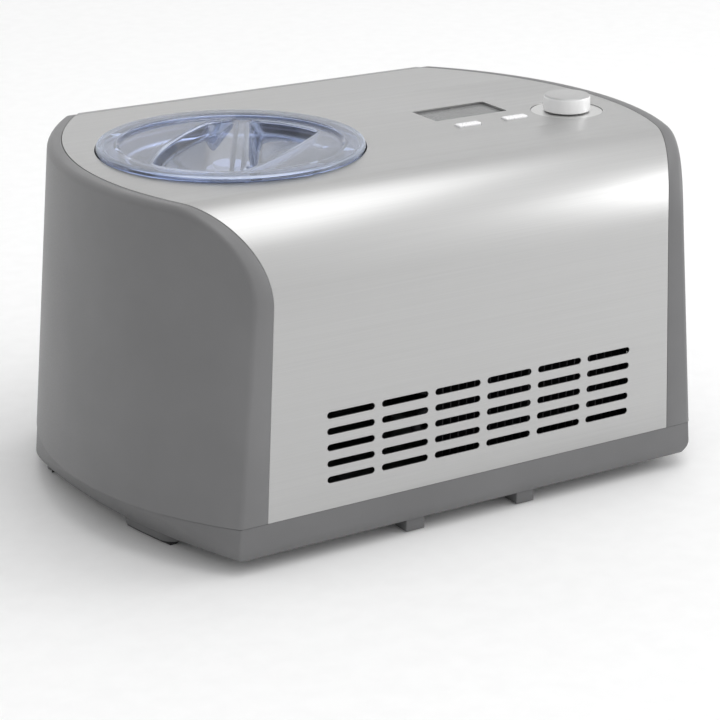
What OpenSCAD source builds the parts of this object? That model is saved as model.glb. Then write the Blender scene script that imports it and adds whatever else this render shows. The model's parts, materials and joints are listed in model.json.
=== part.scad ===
// Countertop ice cream maker with its own compressor, as an assembly of separate pieces.
// Millimetres. +X is the machine's right, the front faces -Y, +Z is up, z = 0 is the worktop.

/* [Casing] */
// Overall width, across the widest part of the side covers
body_w = 425; // [420:1:430]
// Overall depth, front panel to rear panel
body_d = 276; // [274:1:280]
// Height of the steel top above the worktop
top_z = 214; // [212:1:218]
// How far each side bows outward between its front corner and its middle
side_bow = 52; // [48:1:54]
// Half width of the steel at the front corners of the top
front_half = 134; // [131:1:136]
// Radius of the bend between the steel front and the steel top
bend_r = 54; // [44:1:60]
// Thickness of the steel wrap
steel_t = 1.0; // [0.8:0.1:1.2]
// Wall thickness of the plastic mouldings
wall = 2.5; // [2:0.1:3]
// Height of the seam above the base skirt
skirt_z = 30.5; // [29:0.5:33]
// Height of the feet under the base tray
foot_h = 9; // [8:0.5:10]

/* [Bowl] */
// Place of the bowl's axis from left to right
bowl_x = -86; // [-88:1:-84]
// Place of the bowl's axis from front to back
bowl_y = 11; // [9:1:13]
// Radius of the round opening in the steel top
opening_r = 84; // [83.5:0.5:85]
// Outer radius of the removable bowl's wall
bowl_r = 72; // [70:0.5:72.5]
// Height of the underside of the removable bowl
bowl_z = 101; // [101:1:110]

/* [Front vents] */
// Columns of slots
vent_cols = 6; // [3:1:6]
// Rows of slots
vent_rows = 5; // [2:1:5]
// Spacing of the columns
vent_pitch_x = 37.3; // [36:0.1:38]
// Spacing of the rows
vent_pitch_z = 10.1; // [8:0.1:11]
// Length of one slot
vent_len = 32.4; // [20:0.1:33]
// Height of one slot
vent_h = 4.2; // [3:0.1:5]

/* [Controls] */
// Width of the display window
display_w = 55.5; // [50:0.5:58]
// Depth of the display window
display_d = 29.5; // [26:0.5:31]
// Width of a push button
button_w = 17; // [12:1:18]
// Depth of a push button
button_d = 6; // [5:0.5:7]
// Diameter of the knob
knob_dia = 31; // [28:1:36]
// Height of the knob above the steel top
knob_h = 10.5; // [8:0.5:14]

/* [Drive] */
// Teeth on each small gear
pinion_teeth = 14; // [14]
// Teeth on each large gear
wheel_teeth = 56; // [56]
// Gear module
gear_m = 1; // [1]

/* [Hidden] */
$fn = 96;

front_y = -body_d / 2;
back_y = body_d / 2;
seam_gap = 0.35;
half_d = body_d / 2;
bow_y = -4;
side_r = (half_d * half_d + side_bow * side_bow) / (2 * side_bow);
steel_half = front_half + side_bow;
seam_lean = 2.6;
cover_half = body_w / 2 - 16.5;
cover_lean = atan((body_w / 2 - cover_half) / (top_z - skirt_z));
under_r = 430;
under_y = 38;
under_half = body_w / 2 - 13.75;
under_slope = 0.71;
steel_back_y = back_y - 4;
drum_r = bowl_r + 1.6;
drum_z = bowl_z - 3;
shelf_z = top_z - 7;
vent_x0 = -89.7;
vent_z0 = 89.6;
display_x = 84.2;
display_y = 13.4;
buttons_y = -20;
button_xs = [68.6, 104.7];
button_travel = 0.8;
knob_x = 146.3;
knob_y = -19.6;
dial_r = 23.3;
gear_step = gear_m * (pinion_teeth + wheel_teeth) / 2;
grey = [0.52, 0.52, 0.53];
steel = [0.78, 0.78, 0.77];
dark = [0.12, 0.12, 0.13];

// ---- shared shapes ----

module at_bowl() {
  translate([bowl_x, bowl_y, 0]) children();
}

// Everything inside one leaning, bowed side: s is -1 for the left side and 1 for the right.
module inside_side(s, half, lean) {
  translate([s * (half - side_r / cos(lean)), bow_y, top_z])
    rotate([0, -s * lean, 0])
      cylinder(r = side_r, h = 700, center = true, $fn = 180);
}

// Everything on one side of the middle.
module half_space(s) {
  translate([s * 200, 0, 100]) cube([400, 600, 700], center = true);
}

// Everything between the two sides, each of which counts only on its own half.
module inside_both(half, lean) {
  intersection_for(s = [-1, 1])
    union() {
      inside_side(s, half, lean);
      half_space(-s);
    }
}

// Side outline of the casing in Y and Z, with its rounded front-top corner.
module outline(inset, low, back) {
  r = bend_r - inset;
  steps = 28;
  arc = [for (i = [0:steps]) 90 + 90 * i / steps];
  c = [front_y + bend_r, top_z - bend_r];
  polygon(concat(
    [[back, low], [back, top_z - inset]],
    [for (a = arc) [c[0] + r * cos(a), c[1] + r * sin(a)]],
    [[front_y + inset, low]]));
}

// The outline swept across the whole width.
module outline_block(inset, low, back) {
  rotate([90, 0, 90])
    linear_extrude(height = 500, center = true) outline(inset, low, back);
}

// A flat slot outline with rounded ends, its length along X.
module slot_2d(len, h) {
  n = 8;
  r = h / 2;
  d = len / 2 - r;
  polygon([for (s = [1, -1]) for (i = [0:n])
    let (a = -90 + 180 * i / n) [s * (d + r * cos(a)), s * r * sin(a)]]);
}

module rounded_box(size, r) {
  x = size[0] / 2 - r;
  y = size[1] / 2 - r;
  n = 6;
  linear_extrude(height = size[2])
    polygon([for (q = [0:3]) for (i = [0:n])
      let (a = 90 * q + 90 * i / n, sx = (q == 0 || q == 3) ? 1 : -1, sy = q < 2 ? 1 : -1)
        [sx * x + r * cos(a), sy * y + r * sin(a)]]);
}

module ring(r_out, r_in, z0, z1) {
  translate([0, 0, z0])
    difference() {
      cylinder(r = r_out, h = z1 - z0);
      translate([0, 0, -1]) cylinder(r = r_in, h = z1 - z0 + 2);
    }
}

// A round bar from a to b.
module bar(a, b, r) {
  d = b - a;
  len = norm(d);
  translate(a)
    rotate([0, acos(d[2] / len), atan2(d[1], d[0])])
      cylinder(r = r, h = len, $fn = 24);
}

// A bent tube through the points, with a slightly fuller joint at each bend.
module tube_run(pts, r) {
  for (i = [0:len(pts) - 2]) bar(pts[i], pts[i + 1], r);
  for (i = [1:len(pts) - 2]) translate(pts[i]) sphere(r = r * 1.3, $fn = 24);
}

module screw(head_r, head_h, shank_r, shank_l) {
  cylinder(r = head_r, h = head_h, $fn = 32);
  translate([0, 0, -shank_l]) cylinder(r = shank_r, h = shank_l + 0.1, $fn = 24);
}

// Outline of a straight-flanked gear with a tooth centred on angle zero.
function gear_pts(n) =
  let (rp = gear_m * n / 2, half = 90 / n - 0.12 * 57.3 / rp,
       root = half + 1.2 * gear_m * tan(20) * 57.3 / rp,
       tip = half - 0.9 * gear_m * tan(20) * 57.3 / rp)
  [for (i = [0:n - 1]) for (k = [0:3])
    let (a = 360 * i / n + [-root, -tip, tip, root][k],
         r = rp + gear_m * [-1.2, 0.9, 0.9, -1.2][k])
      [r * cos(a), r * sin(a)]];

module gear(n, z0, z1, bore) {
  translate([0, 0, z0])
    difference() {
      linear_extrude(height = z1 - z0) polygon(gear_pts(n));
      translate([0, 0, -1]) cylinder(r = bore, h = z1 - z0 + 2, $fn = 48);
    }
}

// ---- casing ----

module vent_slots() {
  for (i = [0:vent_cols - 1]) for (j = [0:vent_rows - 1])
    translate([vent_x0 + i * vent_pitch_x, front_y + 5, vent_z0 - j * vent_pitch_z])
      rotate([90, 0, 0]) linear_extrude(height = 10) slot_2d(vent_len, vent_h);
}

module button_holes(grow, z0, z1) {
  for (x = button_xs)
    translate([x, buttons_y, z0])
      rounded_box([button_w + grow, button_d + grow, z1 - z0], 1.2);
}

module steel_wrap() {
  color(steel)
    difference() {
      intersection() {
        difference() {
          outline_block(0, skirt_z + 0.3, steel_back_y);
          outline_block(steel_t, skirt_z - 5, steel_back_y + 5);
        }
        inside_both(steel_half - seam_gap / 2, seam_lean);
      }
      at_bowl() translate([0, 0, top_z - 10]) cylinder(r = opening_r, h = 20);
      vent_slots();
      translate([display_x, display_y, top_z - 10]) rounded_box([display_w, display_d, 20], 1.5);
      button_holes(0.8, top_z - 10, top_z + 10);
      translate([knob_x, knob_y, top_z - 10]) cylinder(r = dial_r + 0.3, h = 20);
    }
}

// One side cover: s is -1 for the left and 1 for the right.
module side_cover(s) {
  color(grey)
    difference() {
      intersection() {
        outline_block(0, skirt_z + 0.3, back_y);
        inside_side(s, cover_half, cover_lean);
      }
      inside_side(s, steel_half + seam_gap / 2, seam_lean);
      intersection() {
        outline_block(wall, skirt_z - 5, back_y - wall);
        inside_side(s, cover_half - wall, cover_lean);
      }
      translate([s * -300, 0, 150]) cube([600, 600, 400], center = true);
    }
}

module left_side_cover() side_cover(-1);
module right_side_cover() side_cover(1);

rear_screw_spots = [[-115, 195], [115, 195], [-122, 48], [122, 48]];

module rear_panel() {
  color(grey)
    difference() {
      intersection() {
        union() {
          translate([-200, back_y - wall, skirt_z + 0.3]) cube([400, wall, top_z - skirt_z - 0.3]);
          translate([-200, steel_back_y + 0.3, top_z - 5]) cube([400, 3.7, 5]);
        }
        inside_both(steel_half - seam_gap / 2, seam_lean);
      }
      for (i = [0:4]) for (j = [0:9])
        translate([10 + i * 24, back_y + 5, 62 + j * 9])
          rotate([90, 0, 0]) linear_extrude(height = 12) slot_2d(19, 4);
      translate([-100, back_y, 52]) rotate([90, 0, 0]) cylinder(r = 8.2, h = 20, center = true);
      for (p = rear_screw_spots)
        translate([p[0], back_y, p[1]]) rotate([90, 0, 0]) cylinder(r = 2, h = 20, center = true);
    }
}

base_screw_spots = [[-150, 50], [150, 50], [-120, -95], [120, -95]];
side_foot_y = [-54, 86];
front_foot_x = 40.6;

// One side of the skirt's lower edge, which turns under most at the middle of the side.
module turned_under(s, inset) {
  translate([s * (under_half - under_r), under_y, 0])
    cylinder(r1 = under_r - inset - foot_h * under_slope,
             r2 = under_r - inset + (60 - foot_h) * under_slope, h = 60, $fn = 180);
}

// The skirt's outer form: it follows the covers down and then turns under.
module base_shell(inset, z0, z1) {
  intersection() {
    inside_both(cover_half - inset, cover_lean);
    turned_under(-1, inset);
    turned_under(1, inset);
    translate([-300, front_y + inset, z0]) cube([600, body_d - 2 * inset, z1 - z0]);
  }
}

// The tray's own feet stand a little inside the skirt's lower edge at its four corners.
module tray_feet(z0, z1, inset) {
  for (s = [-1, 1])
    intersection() {
      translate([s * (under_half - under_r), under_y, z0])
        cylinder(r = under_r - 3 - inset, h = z1 - z0, $fn = 180);
      translate([s * (body_w / 2 - 5.5 - side_r), bow_y, z0])
        cylinder(r = side_r - inset, h = z1 - z0, $fn = 180);
      for (y = side_foot_y)
        translate([s * 192, y, z0]) rounded_box([50 - 2 * inset, 46 - 2 * inset, z1 - z0], 8 - inset);
    }
}

frame_spots = [[-72, -58], [72, -58], [-72, 62], [72, 62]];
compressor_x = 112;
compressor_y = 44;
mount_spots = [[-48, -38], [48, -38], [-48, 38], [48, 38]];

module base_tray() {
  color(grey)
    difference() {
      union() {
        difference() {
          base_shell(0.3, foot_h, skirt_z);
          base_shell(wall, foot_h + 3, skirt_z + 5);
        }
        tray_feet(2, foot_h + 1, 0);
        for (sx = [-1, 1])
          translate([sx * front_foot_x, front_y + 12.7, 0.3]) rounded_box([13.4, 13.6, foot_h], 1);
        at_bowl() for (p = frame_spots)
          translate([p[0], p[1], foot_h + 2]) cylinder(r = 8, h = 7);
        translate([compressor_x, compressor_y, 0]) for (p = mount_spots)
          translate([p[0], p[1], foot_h + 2]) cylinder(r = 3.4, h = 18);
      }
      for (p = base_screw_spots)
        translate([p[0], p[1], 0]) cylinder(r = 2, h = 30);
    }
}

module rubber_feet() {
  color(dark) tray_feet(0, 1.95, 3);
}

module cord_grommet() {
  color(dark)
    translate([-100, back_y, 52]) rotate([90, 0, 0])
      difference() {
        union() {
          translate([0, 0, 0.2]) cylinder(r = 8, h = 9);
          translate([0, 0, wall + 0.2]) cylinder(r = 11, h = 3);
        }
        translate([0, 0, -1]) cylinder(r = 3.6, h = 20);
      }
}

module casing_screws() {
  color("silver") {
    for (p = rear_screw_spots)
      translate([p[0], back_y - wall - 0.05, p[1]]) rotate([90, 0, 0])
        screw(4, 2.4, 1.6, wall);
    for (p = base_screw_spots)
      translate([p[0], p[1], foot_h - 2.3]) {
        cylinder(r = 3.6, h = 2.2, $fn = 32);
        cylinder(r = 1.7, h = 14, $fn = 24);
      }
  }
}

// ---- bowl, lid and paddle ----

module bowl_collar() {
  color(dark) at_bowl()
    rotate_extrude()
      polygon([[drum_r + 1.8, shelf_z - 3], [opening_r + 3, shelf_z - 3], [opening_r + 3, top_z - steel_t - 0.2],
               [opening_r + 0.4, top_z - steel_t - 0.2], [opening_r + 0.4, shelf_z], [drum_r + 1.8, shelf_z]]);
}

module evaporator_drum() {
  r = drum_r;
  color("lightgray") at_bowl()
    rotate_extrude()
      polygon([[9.7, drum_z], [r + 1.5, drum_z], [r + 1.5, shelf_z - 0.2], [r, shelf_z - 0.2],
               [r, drum_z + 2], [9.7, drum_z + 2]]);
}

coil_turns = 7;
coil_pitch = 13;
coil_z0 = drum_z + 14;
coil_tube_r = 3.9;
coil_r = drum_r + 1.5 + coil_tube_r + 0.55;
coil_gap = 16;

// Wound tube: each turn is an open ring, and a short sloping length leads up to the next.
module evaporator_coil() {
  a0 = -coil_gap / 2;
  color("peru") at_bowl() {
    for (i = [0:coil_turns - 1])
      translate([0, 0, coil_z0 + i * coil_pitch])
        rotate([0, 0, coil_gap / 2])
          rotate_extrude(angle = 360 - coil_gap)
            translate([coil_r, 0]) circle(r = coil_tube_r, $fn = 24);
    for (i = [0:coil_turns - 2]) {
      z = coil_z0 + i * coil_pitch;
      lo = [coil_r * cos(a0), coil_r * sin(a0), z];
      hi = [coil_r * cos(-a0), coil_r * sin(-a0), z + coil_pitch];
      bar(lo, hi, coil_tube_r * 0.9);
      for (p = [lo, hi]) translate(p) sphere(r = coil_tube_r * 1.1, $fn = 24);
    }
  }
}

capillary_port = [[20, -12, 172], [-2.6, -11, 172]];
suction_port = [[30, 50, 180], [1.5, 30, 180]];

module insulation() {
  top = shelf_z - 3.4;
  color([0.2, 0.2, 0.2])
    difference() {
      at_bowl() rotate_extrude()
        polygon([[14, drum_z - 12], [96, drum_z - 12], [96, top], [88, top], [88, drum_z - 0.4], [14, drum_z - 0.4]]);
      bar(capillary_port[0], capillary_port[1], 2.4);
      bar(suction_port[0], suction_port[1] + [-8, -5.6, 0], 4.6);
    }
}

module mixing_bowl() {
  r = bowl_r;
  z = bowl_z;
  color("silver") at_bowl()
    difference() {
      rotate_extrude()
        polygon([[6.4, z], [r - 6, z], [r, z + 6], [r, shelf_z + 0.3], [r + 6, shelf_z + 0.3],
                 [r + 6, shelf_z + 1.5], [r - 1.2, shelf_z + 1.5], [r - 1.2, z + 6.6],
                 [r - 6.6, z + 1.2], [9, z + 1.2], [8, z + 34], [6.4, z + 34]]);
      rotate([0, 90, 0]) translate([-handle_z, 0, 0]) cylinder(r = 2.05, h = 200, center = true, $fn = 24);
    }
}

handle_z = shelf_z - 5;
handle_r = bowl_r - 6;

// Folding handle: a half hoop that lies inside the rim and swings up about two pins.
module bowl_handle() {
  color("silver") at_bowl() translate([0, 0, handle_z]) {
    rotate_extrude(angle = 180) translate([handle_r, 0]) circle(r = 1.9, $fn = 24);
    for (s = [-1, 1])
      translate([s * (handle_r + 2.1), 0, 0])
        rotate([0, 90, 0]) cylinder(r = 1.98, h = 7, center = true, $fn = 24);
  }
}

lid_r = opening_r - 0.9;
lid_top = top_z + 3.5;
well_r = 65;
well_half = 37.5;
lens_r = 140;
lens_turn = 38;
grip_turn = 60;
grip_half = 11;

// The finger wells' shared outline: two wide arcs inside a circle.
module lens(inset, z0, z1) {
  translate([0, 0, z0])
    intersection() {
      cylinder(r = well_r - inset, h = z1 - z0);
      rotate([0, 0, lens_turn]) intersection() {
        translate([0, well_half - lens_r, 0]) cylinder(r = lens_r - inset, h = z1 - z0);
        translate([0, lens_r - well_half, 0]) cylinder(r = lens_r - inset, h = z1 - z0);
      }
    }
}

// The two wells are what the grip leaves of the lens.
module wells(inset, z0, z1) {
  difference() {
    lens(inset, z0, z1);
    rotate([0, 0, grip_turn])
      translate([-100, -grip_half - inset, z0 - 1]) cube([200, 2 * (grip_half + inset), z1 - z0 + 2]);
  }
}

module lid() {
  t = 2;
  floor_z = shelf_z - 1.2;
  color([0.72, 0.74, 0.88, 0.5]) at_bowl()
    difference() {
      union() {
        difference() {
          rotate_extrude()
            polygon([[0, lid_top - 2 - t], [well_r + 1, lid_top - 2 - t], [well_r + 5, lid_top - t],
                     [lid_r - 4.4, lid_top - t], [lid_r - 4, shelf_z + 0.3], [lid_r - 1.6, shelf_z + 0.3],
                     [lid_r - 0.6, top_z - 0.6], [lid_r, top_z + 0.6], [lid_r, lid_top - 1.8],
                     [lid_r - 2, lid_top], [well_r + 4, lid_top], [well_r, lid_top - 2], [0, lid_top - 2]]);
          wells(-0.01, lid_top - 10, lid_top + 1);
        }
        difference() {
          wells(-0.02, floor_z, lid_top - 2.01);
          wells(t, floor_z + t, lid_top + 1);
        }
      }
      translate([0, 0, floor_z - 1]) cylinder(r = 3, h = 0.5, $fn = 24);
    }
}

paddle_top = shelf_z - 5;
hub_r = 12;

module paddle_blade() {
  translate([0, 0, bowl_z + 7.5])
    linear_extrude(height = 74)
      polygon([for (s = [0, 1]) for (i = [0:10])
        let (a = s == 0 ? -4 + 46 * i / 10 : 42 - 46 * i / 10, r = (s == 0 ? 68.5 : 65) - 0.16 * (a + 4))
          [r * cos(a), r * sin(a)]]);
}

module paddle() {
  color("white") at_bowl()
    difference() {
      union() {
        cylinder_hub = paddle_top - bowl_z - 4;
        translate([0, 0, bowl_z + 4]) cylinder(r = hub_r, h = cylinder_hub - 3);
        translate([0, 0, bowl_z + 4]) cylinder(r = hub_r - 2, h = cylinder_hub);
        for (t = [0, 180]) rotate([0, 0, t]) {
          paddle_blade();
          for (z = [bowl_z + 4, bowl_z + 66])
            translate([hub_r - 3, -3, z]) cube([57, 6, 9]);
        }
        rotate([0, 0, 90]) translate([-34, -2, bowl_z + 30]) cube([68, 4, 38]);
      }
      translate([0, 0, bowl_z]) cylinder(r = 9.6, h = 38);
      translate([-3.7, -3.7, bowl_z + 30]) cube([7.4, 7.4, 24]);
    }
}

// ---- drive ----

module support_frame() {
  z = drum_z - 14.5;
  color("gray") at_bowl()
    difference() {
      union() {
        translate([0, 0, z]) rounded_box([176, 148, 2], 14);
        for (p = frame_spots)
          translate([p[0], p[1], foot_h + 9.2]) cylinder(r = 5, h = z - foot_h - 8.5);
      }
      translate([0, 0, z - 1]) cylinder(r = 9.3, h = 5);
    }
}

module shaft_bush() {
  color("goldenrod") at_bowl() ring(9, 5.05, drum_z - 17.5, drum_z - 1);
}

module shaft_seal() {
  color(dark) at_bowl() ring(9.4, 5.04, drum_z - 0.8, drum_z + 2.4);
}

gearbox_z = 50;
output_z = 68;
first_z = 56;
face = 8;
motor_dx = 2 * gear_step;

module drive_shaft() {
  color("silver") at_bowl() {
    translate([0, 0, gearbox_z + 2.2]) cylinder(r = 5, h = bowl_z + 35 - gearbox_z - 2.2);
    translate([-3.5, -3.5, bowl_z + 34]) cube([7, 7, 17]);
  }
}

module output_gear() {
  color("white") at_bowl() {
    gear(wheel_teeth, output_z, output_z + face, 5.01);
    ring(9, 5.01, output_z + face - 0.5, output_z + face + 3);
  }
}

module intermediate_gear() {
  color("ivory") at_bowl() translate([gear_step, 0, 0]) {
    gear(wheel_teeth, first_z, first_z + face, 3.05);
    ring(5.4, 3.05, first_z + face - 0.5, output_z + 0.5);
    rotate([0, 0, 180 / pinion_teeth]) gear(pinion_teeth, output_z, output_z + face, 3.05);
  }
}

module gear_pin() {
  color("silver") at_bowl() translate([gear_step, 0, gearbox_z + 1]) cylinder(r = 3, h = 29, $fn = 32);
}

module gearbox_footprint(inset, z0, z1) {
  at_bowl() translate([gear_step, 0, z0])
    rounded_box([2 * gear_step + 68 - 2 * inset, 72 - 2 * inset, z1 - z0], 12 - inset);
}

gearbox_screw_spots = [[-27, -30], [97, -30], [-27, 30], [97, 30]];

module gearbox_housing() {
  color("dimgray")
    difference() {
      gearbox_footprint(0, gearbox_z, 80);
      difference() {
        gearbox_footprint(2.5, gearbox_z + 3, 90);
        at_bowl() for (p = gearbox_screw_spots)
          translate([p[0], p[1], gearbox_z]) cylinder(r = 5, h = 40);
      }
      at_bowl() {
        translate([0, 0, gearbox_z + 2]) cylinder(r = 5.05, h = 5);
        translate([gear_step, 0, gearbox_z + 1]) cylinder(r = 3.01, h = 5, $fn = 32);
        translate([motor_dx, 0, gearbox_z - 1]) cylinder(r = 5.5, h = 6);
        for (p = gearbox_screw_spots)
          translate([p[0], p[1], gearbox_z + 10]) cylinder(r = 1.8, h = 40, $fn = 24);
      }
    }
}

module gearbox_cover() {
  color("gray")
    difference() {
      gearbox_footprint(0, 80.1, 82.9);
      at_bowl() {
        cylinder(r = 9.3, h = 200);
        translate([gear_step, 0, 0]) cylinder(r = 3.01, h = 81, $fn = 32);
        for (p = gearbox_screw_spots)
          translate([p[0], p[1], 70]) cylinder(r = 2.1, h = 40, $fn = 24);
      }
    }
}

module gearbox_screws() {
  color("silver") at_bowl()
    for (p = gearbox_screw_spots)
      translate([p[0], p[1], 62]) cylinder(r = 1.7, h = 20.8, $fn = 24);
}

module motor_pinion() {
  color("ivory") at_bowl() translate([motor_dx, 0, 0])
    rotate([0, 0, 180 / pinion_teeth]) gear(pinion_teeth, first_z, first_z + face, 3.01);
}

module motor_rotor() {
  color("silver") at_bowl() translate([motor_dx, 0, 0]) {
    translate([0, 0, foot_h + 5]) cylinder(r = 3, h = first_z + face - foot_h - 4, $fn = 32);
    translate([0, 0, 20]) cylinder(r = 15, h = 20);
  }
}

module motor_stator() {
  color("darkgray") at_bowl() translate([motor_dx, 0, 0])
    difference() {
      translate([0, 0, 21]) rounded_box([62, 58, 18], 4);
      translate([0, 0, 10]) cylinder(r = 15.6, h = 40);
      translate([19, -15, 10]) cube([7, 30, 40]);
    }
}

module motor_winding() {
  color("peru") at_bowl() translate([motor_dx, 0, 0])
    difference() {
      translate([20, -14.5, 16]) cube([18.5, 29, 28]);
      translate([26, -16, 20.8]) cube([20, 32, 18.4]);
    }
}

// Bearing bridges above and below the motor, with the posts that hang it from the gearbox.
module motor_bridge() {
  color("gray") at_bowl() translate([motor_dx, 0, 0])
    difference() {
      union() {
        for (z = [14.5, 42]) translate([-11, -29, z]) cube([22, 58, 3]);
        for (s = [-1, 1]) translate([-6, s * 22 - 3, 42]) cube([12, 6, gearbox_z - 42.1]);
        for (s = [-1, 1]) translate([0, s * 26, 14.5]) cylinder(r = 2.4, h = 6.4, $fn = 24);
        for (s = [-1, 1]) translate([0, s * 26, 39.1]) cylinder(r = 2.4, h = 4, $fn = 24);
      }
      translate([0, 0, 5]) cylinder(r = 3.05, h = 50, $fn = 32);
    }
}

// ---- cooling ----

module compressor() {
  color([0.1, 0.1, 0.11]) translate([compressor_x, compressor_y, 0]) {
    rotate_extrude()
      polygon(concat([[0, 29]],
        [for (i = [0:8]) [48 * sin(90 * i / 8), 47 - 18 * cos(90 * i / 8)]],
        [[48, 86], [50, 86], [50, 90], [48, 90]],
        [for (i = [0:8]) [48 * cos(90 * i / 8), 112 + 24 * sin(90 * i / 8)]]));
    for (a = [150, 180, 210]) rotate([0, 0, a]) translate([44, 0, 70])
      rotate([0, 90, 0]) cylinder(r = 4, h = 9, $fn = 32);
  }
}

module compressor_mount() {
  color("dimgray") translate([compressor_x, compressor_y, 0])
    difference() {
      union() {
        translate([0, 0, 24.2]) rounded_box([112, 92, 3], 10);
        translate([0, 0, 27]) cylinder(r = 30, h = 2.6);
      }
      for (p = mount_spots) translate([p[0], p[1], 10]) cylinder(r = 5.1, h = 40, $fn = 32);
      translate([0, 0, 28.4]) cylinder(r = 26, h = 10);
    }
}

module compressor_grommets() {
  color(dark) translate([compressor_x, compressor_y, 0])
    for (p = mount_spots) translate([p[0], p[1], 0]) {
      ring(8, 3.5, foot_h + 3.1, 24.1);
      ring(5, 3.5, 24, 27.3);
    }
}

module start_relay() {
  color(dark) translate([compressor_x, compressor_y, 0])
    translate([-63, -16, 58]) difference() {
      cube([14, 32, 26]);
      translate([6, 2, 2]) cube([20, 28, 22]);
    }
}

condenser_x0 = -18;
condenser_w = 138;
condenser_y = -116;
condenser_z0 = 34;
condenser_h = 84;
tube_rows = 6;

module condenser() {
  pitch = condenser_h / tube_rows;
  fins = 24;
  color("silver") {
    for (i = [0:fins])
      translate([condenser_x0 + condenser_w * i / fins - 0.4, condenser_y - 10, condenser_z0])
        cube([0.8, 20, condenser_h]);
    for (k = [0:tube_rows - 1])
      translate([condenser_x0 - 6, condenser_y, condenser_z0 + pitch * (k + 0.5)])
        rotate([0, 90, 0]) cylinder(r = 3, h = condenser_w + 12, $fn = 24);
    for (k = [0:tube_rows - 2])
      translate([k % 2 == 0 ? condenser_x0 + condenser_w + 6 : condenser_x0 - 6, condenser_y,
                 condenser_z0 + pitch * (k + 1)])
        rotate([90, 0, 0]) rotate([0, 0, k % 2 == 0 ? -90 : 90])
          rotate_extrude(angle = 180) translate([pitch / 2, 0]) circle(r = 3.15, $fn = 24);
  }
}

fan_x = 51;
fan_z = 78;
fan_y = -96;

module fan_shroud() {
  color(dark) translate([fan_x, 0, fan_z])
    difference() {
      union() {
        translate([-69, condenser_y + 10.3, -43]) cube([138, 2.5, 84]);
        translate([0, condenser_y + 10.3, 0]) rotate([-90, 0, 0]) cylinder(r = 41.5, h = 26);
      }
      rotate([90, 0, 0]) cylinder(r = 39.5, h = 400, center = true);
    }
}

module fan_blade() {
  translate([0, 0, 1])
    rotate([0, 28, 0]) translate([-10, 9, -1.2]) cube([20, 26, 2.4]);
}

module fan_impeller() {
  color("dimgray") translate([fan_x, fan_y, fan_z]) rotate([90, 0, 0])
    difference() {
      union() {
        translate([0, 0, -7]) cylinder(r = 13, h = 16);
        intersection() {
          for (i = [0:6]) rotate([0, 0, 360 * i / 7]) fan_blade();
          cylinder(r = 37, h = 60, center = true);
        }
      }
      translate([0, 0, -8]) cylinder(r = 2.55, h = 14, $fn = 32);
    }
}

module fan_motor() {
  color("gray") translate([fan_x, fan_y, fan_z]) {
    rotate([-90, 0, 0]) {
      translate([0, 0, -4]) cylinder(r = 2.5, h = 15, $fn = 32);
      translate([0, 0, 9]) cylinder(r = 19, h = 22);
    }
    for (a = [30, 150, 270]) rotate([0, a, 0])
      translate([17, 11.5, -3]) cube([22.3, 3, 6]);
  }
}

module filter_drier() {
  color("peru") translate([158, -50, 0]) {
    translate([0, 0, 52]) cylinder(r = 8.5, h = 46);
    translate([0, 0, 42]) cylinder(r1 = 2.5, r2 = 8.5, h = 10);
    translate([0, 0, 98]) cylinder(r1 = 8.5, r2 = 2.5, h = 10);
  }
}

module capillary_tube() {
  color("peru") {
    for (i = [0:3]) translate([150, -75, 120 + i * 3.2])
      rotate_extrude() translate([13, 0]) circle(r = 1.4, $fn = 16);
    bar([163, -75, 118], [163, -75, 131], 1.5);
    tube_run([[163, -75, 119], [158, -50, 113], [158, -50, 108.1]], 1.2);
    tube_run([[163, -75, 131], [120, -92, 160], [30, -40, 175], capillary_port[0], capillary_port[1]], 1.2);
  }
}

module discharge_pipe() {
  z = condenser_z0 + condenser_h - condenser_h / tube_rows / 2;
  color("peru")
    tube_run([[compressor_x - 46.1, compressor_y - 26.6, 70], [compressor_x - 56, compressor_y - 32.3, 70],
              [40, -10, 128], [-30, -70, 112], [condenser_x0 - 14, condenser_y, z],
              [condenser_x0 - 4, condenser_y, z]], 2.6);
}

module suction_pipe() {
  color("peru")
    tube_run([[compressor_x - 46.1, compressor_y + 26.6, 70], [compressor_x - 58, compressor_y + 33.5, 70],
              [30, 80, 100], suction_port[0], suction_port[1]], 3.2);
}

// ---- controls and electrics ----

housing_z = top_z - 14;
housing_x = display_x - 4;

module control_housing() {
  color(dark)
    difference() {
      translate([housing_x, 3, housing_z]) rounded_box([76, 68, top_z - steel_t - 0.2 - housing_z], 4);
      translate([housing_x, 3, housing_z - 1]) rounded_box([71, 63, 9], 3);
      translate([display_x, display_y, housing_z - 1]) rounded_box([display_w + 0.8, display_d + 0.8, 30], 1.5);
      button_holes(0.7, housing_z - 1, top_z + 5);
    }
}

module display_window() {
  color([0.25, 0.27, 0.28, 0.8])
    translate([display_x, display_y, top_z - 3.4]) rounded_box([display_w + 0.4, display_d + 0.4, 1.8], 1.4);
}

module lcd_module() {
  color([0.45, 0.5, 0.46])
    translate([display_x, display_y, top_z - 9]) rounded_box([display_w - 1, display_d - 1, 4.2], 1);
}

board_z = top_z - 20;

module control_board() {
  color("darkgreen") {
    translate([housing_x, 3, board_z]) rounded_box([70, 62, 1.6], 2);
    translate([display_x - 12, display_y - 2, board_z + 1.5]) cube([24, 14, 2.2]);
    for (sx = [-1, 1]) for (sy = [-1, 1])
      translate([housing_x + sx * 32, 3 + sy * 29, board_z + 1.5]) cylinder(r = 2, h = 12, $fn = 24);
  }
}

module button_switches() {
  color(dark)
    for (x = button_xs) translate([x - 3, buttons_y - 3, board_z + 1.7]) cube([6, 6, 3.4]);
}

module push_button(x) {
  color([0.85, 0.85, 0.86]) translate([x, buttons_y, 0]) {
    translate([0, 0, top_z - 9]) rounded_box([button_w, button_d, 10.3], 1);
    translate([-2, -2, board_z + 6.2]) cube([4, 4, top_z - board_z - 14]);
  }
}

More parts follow.
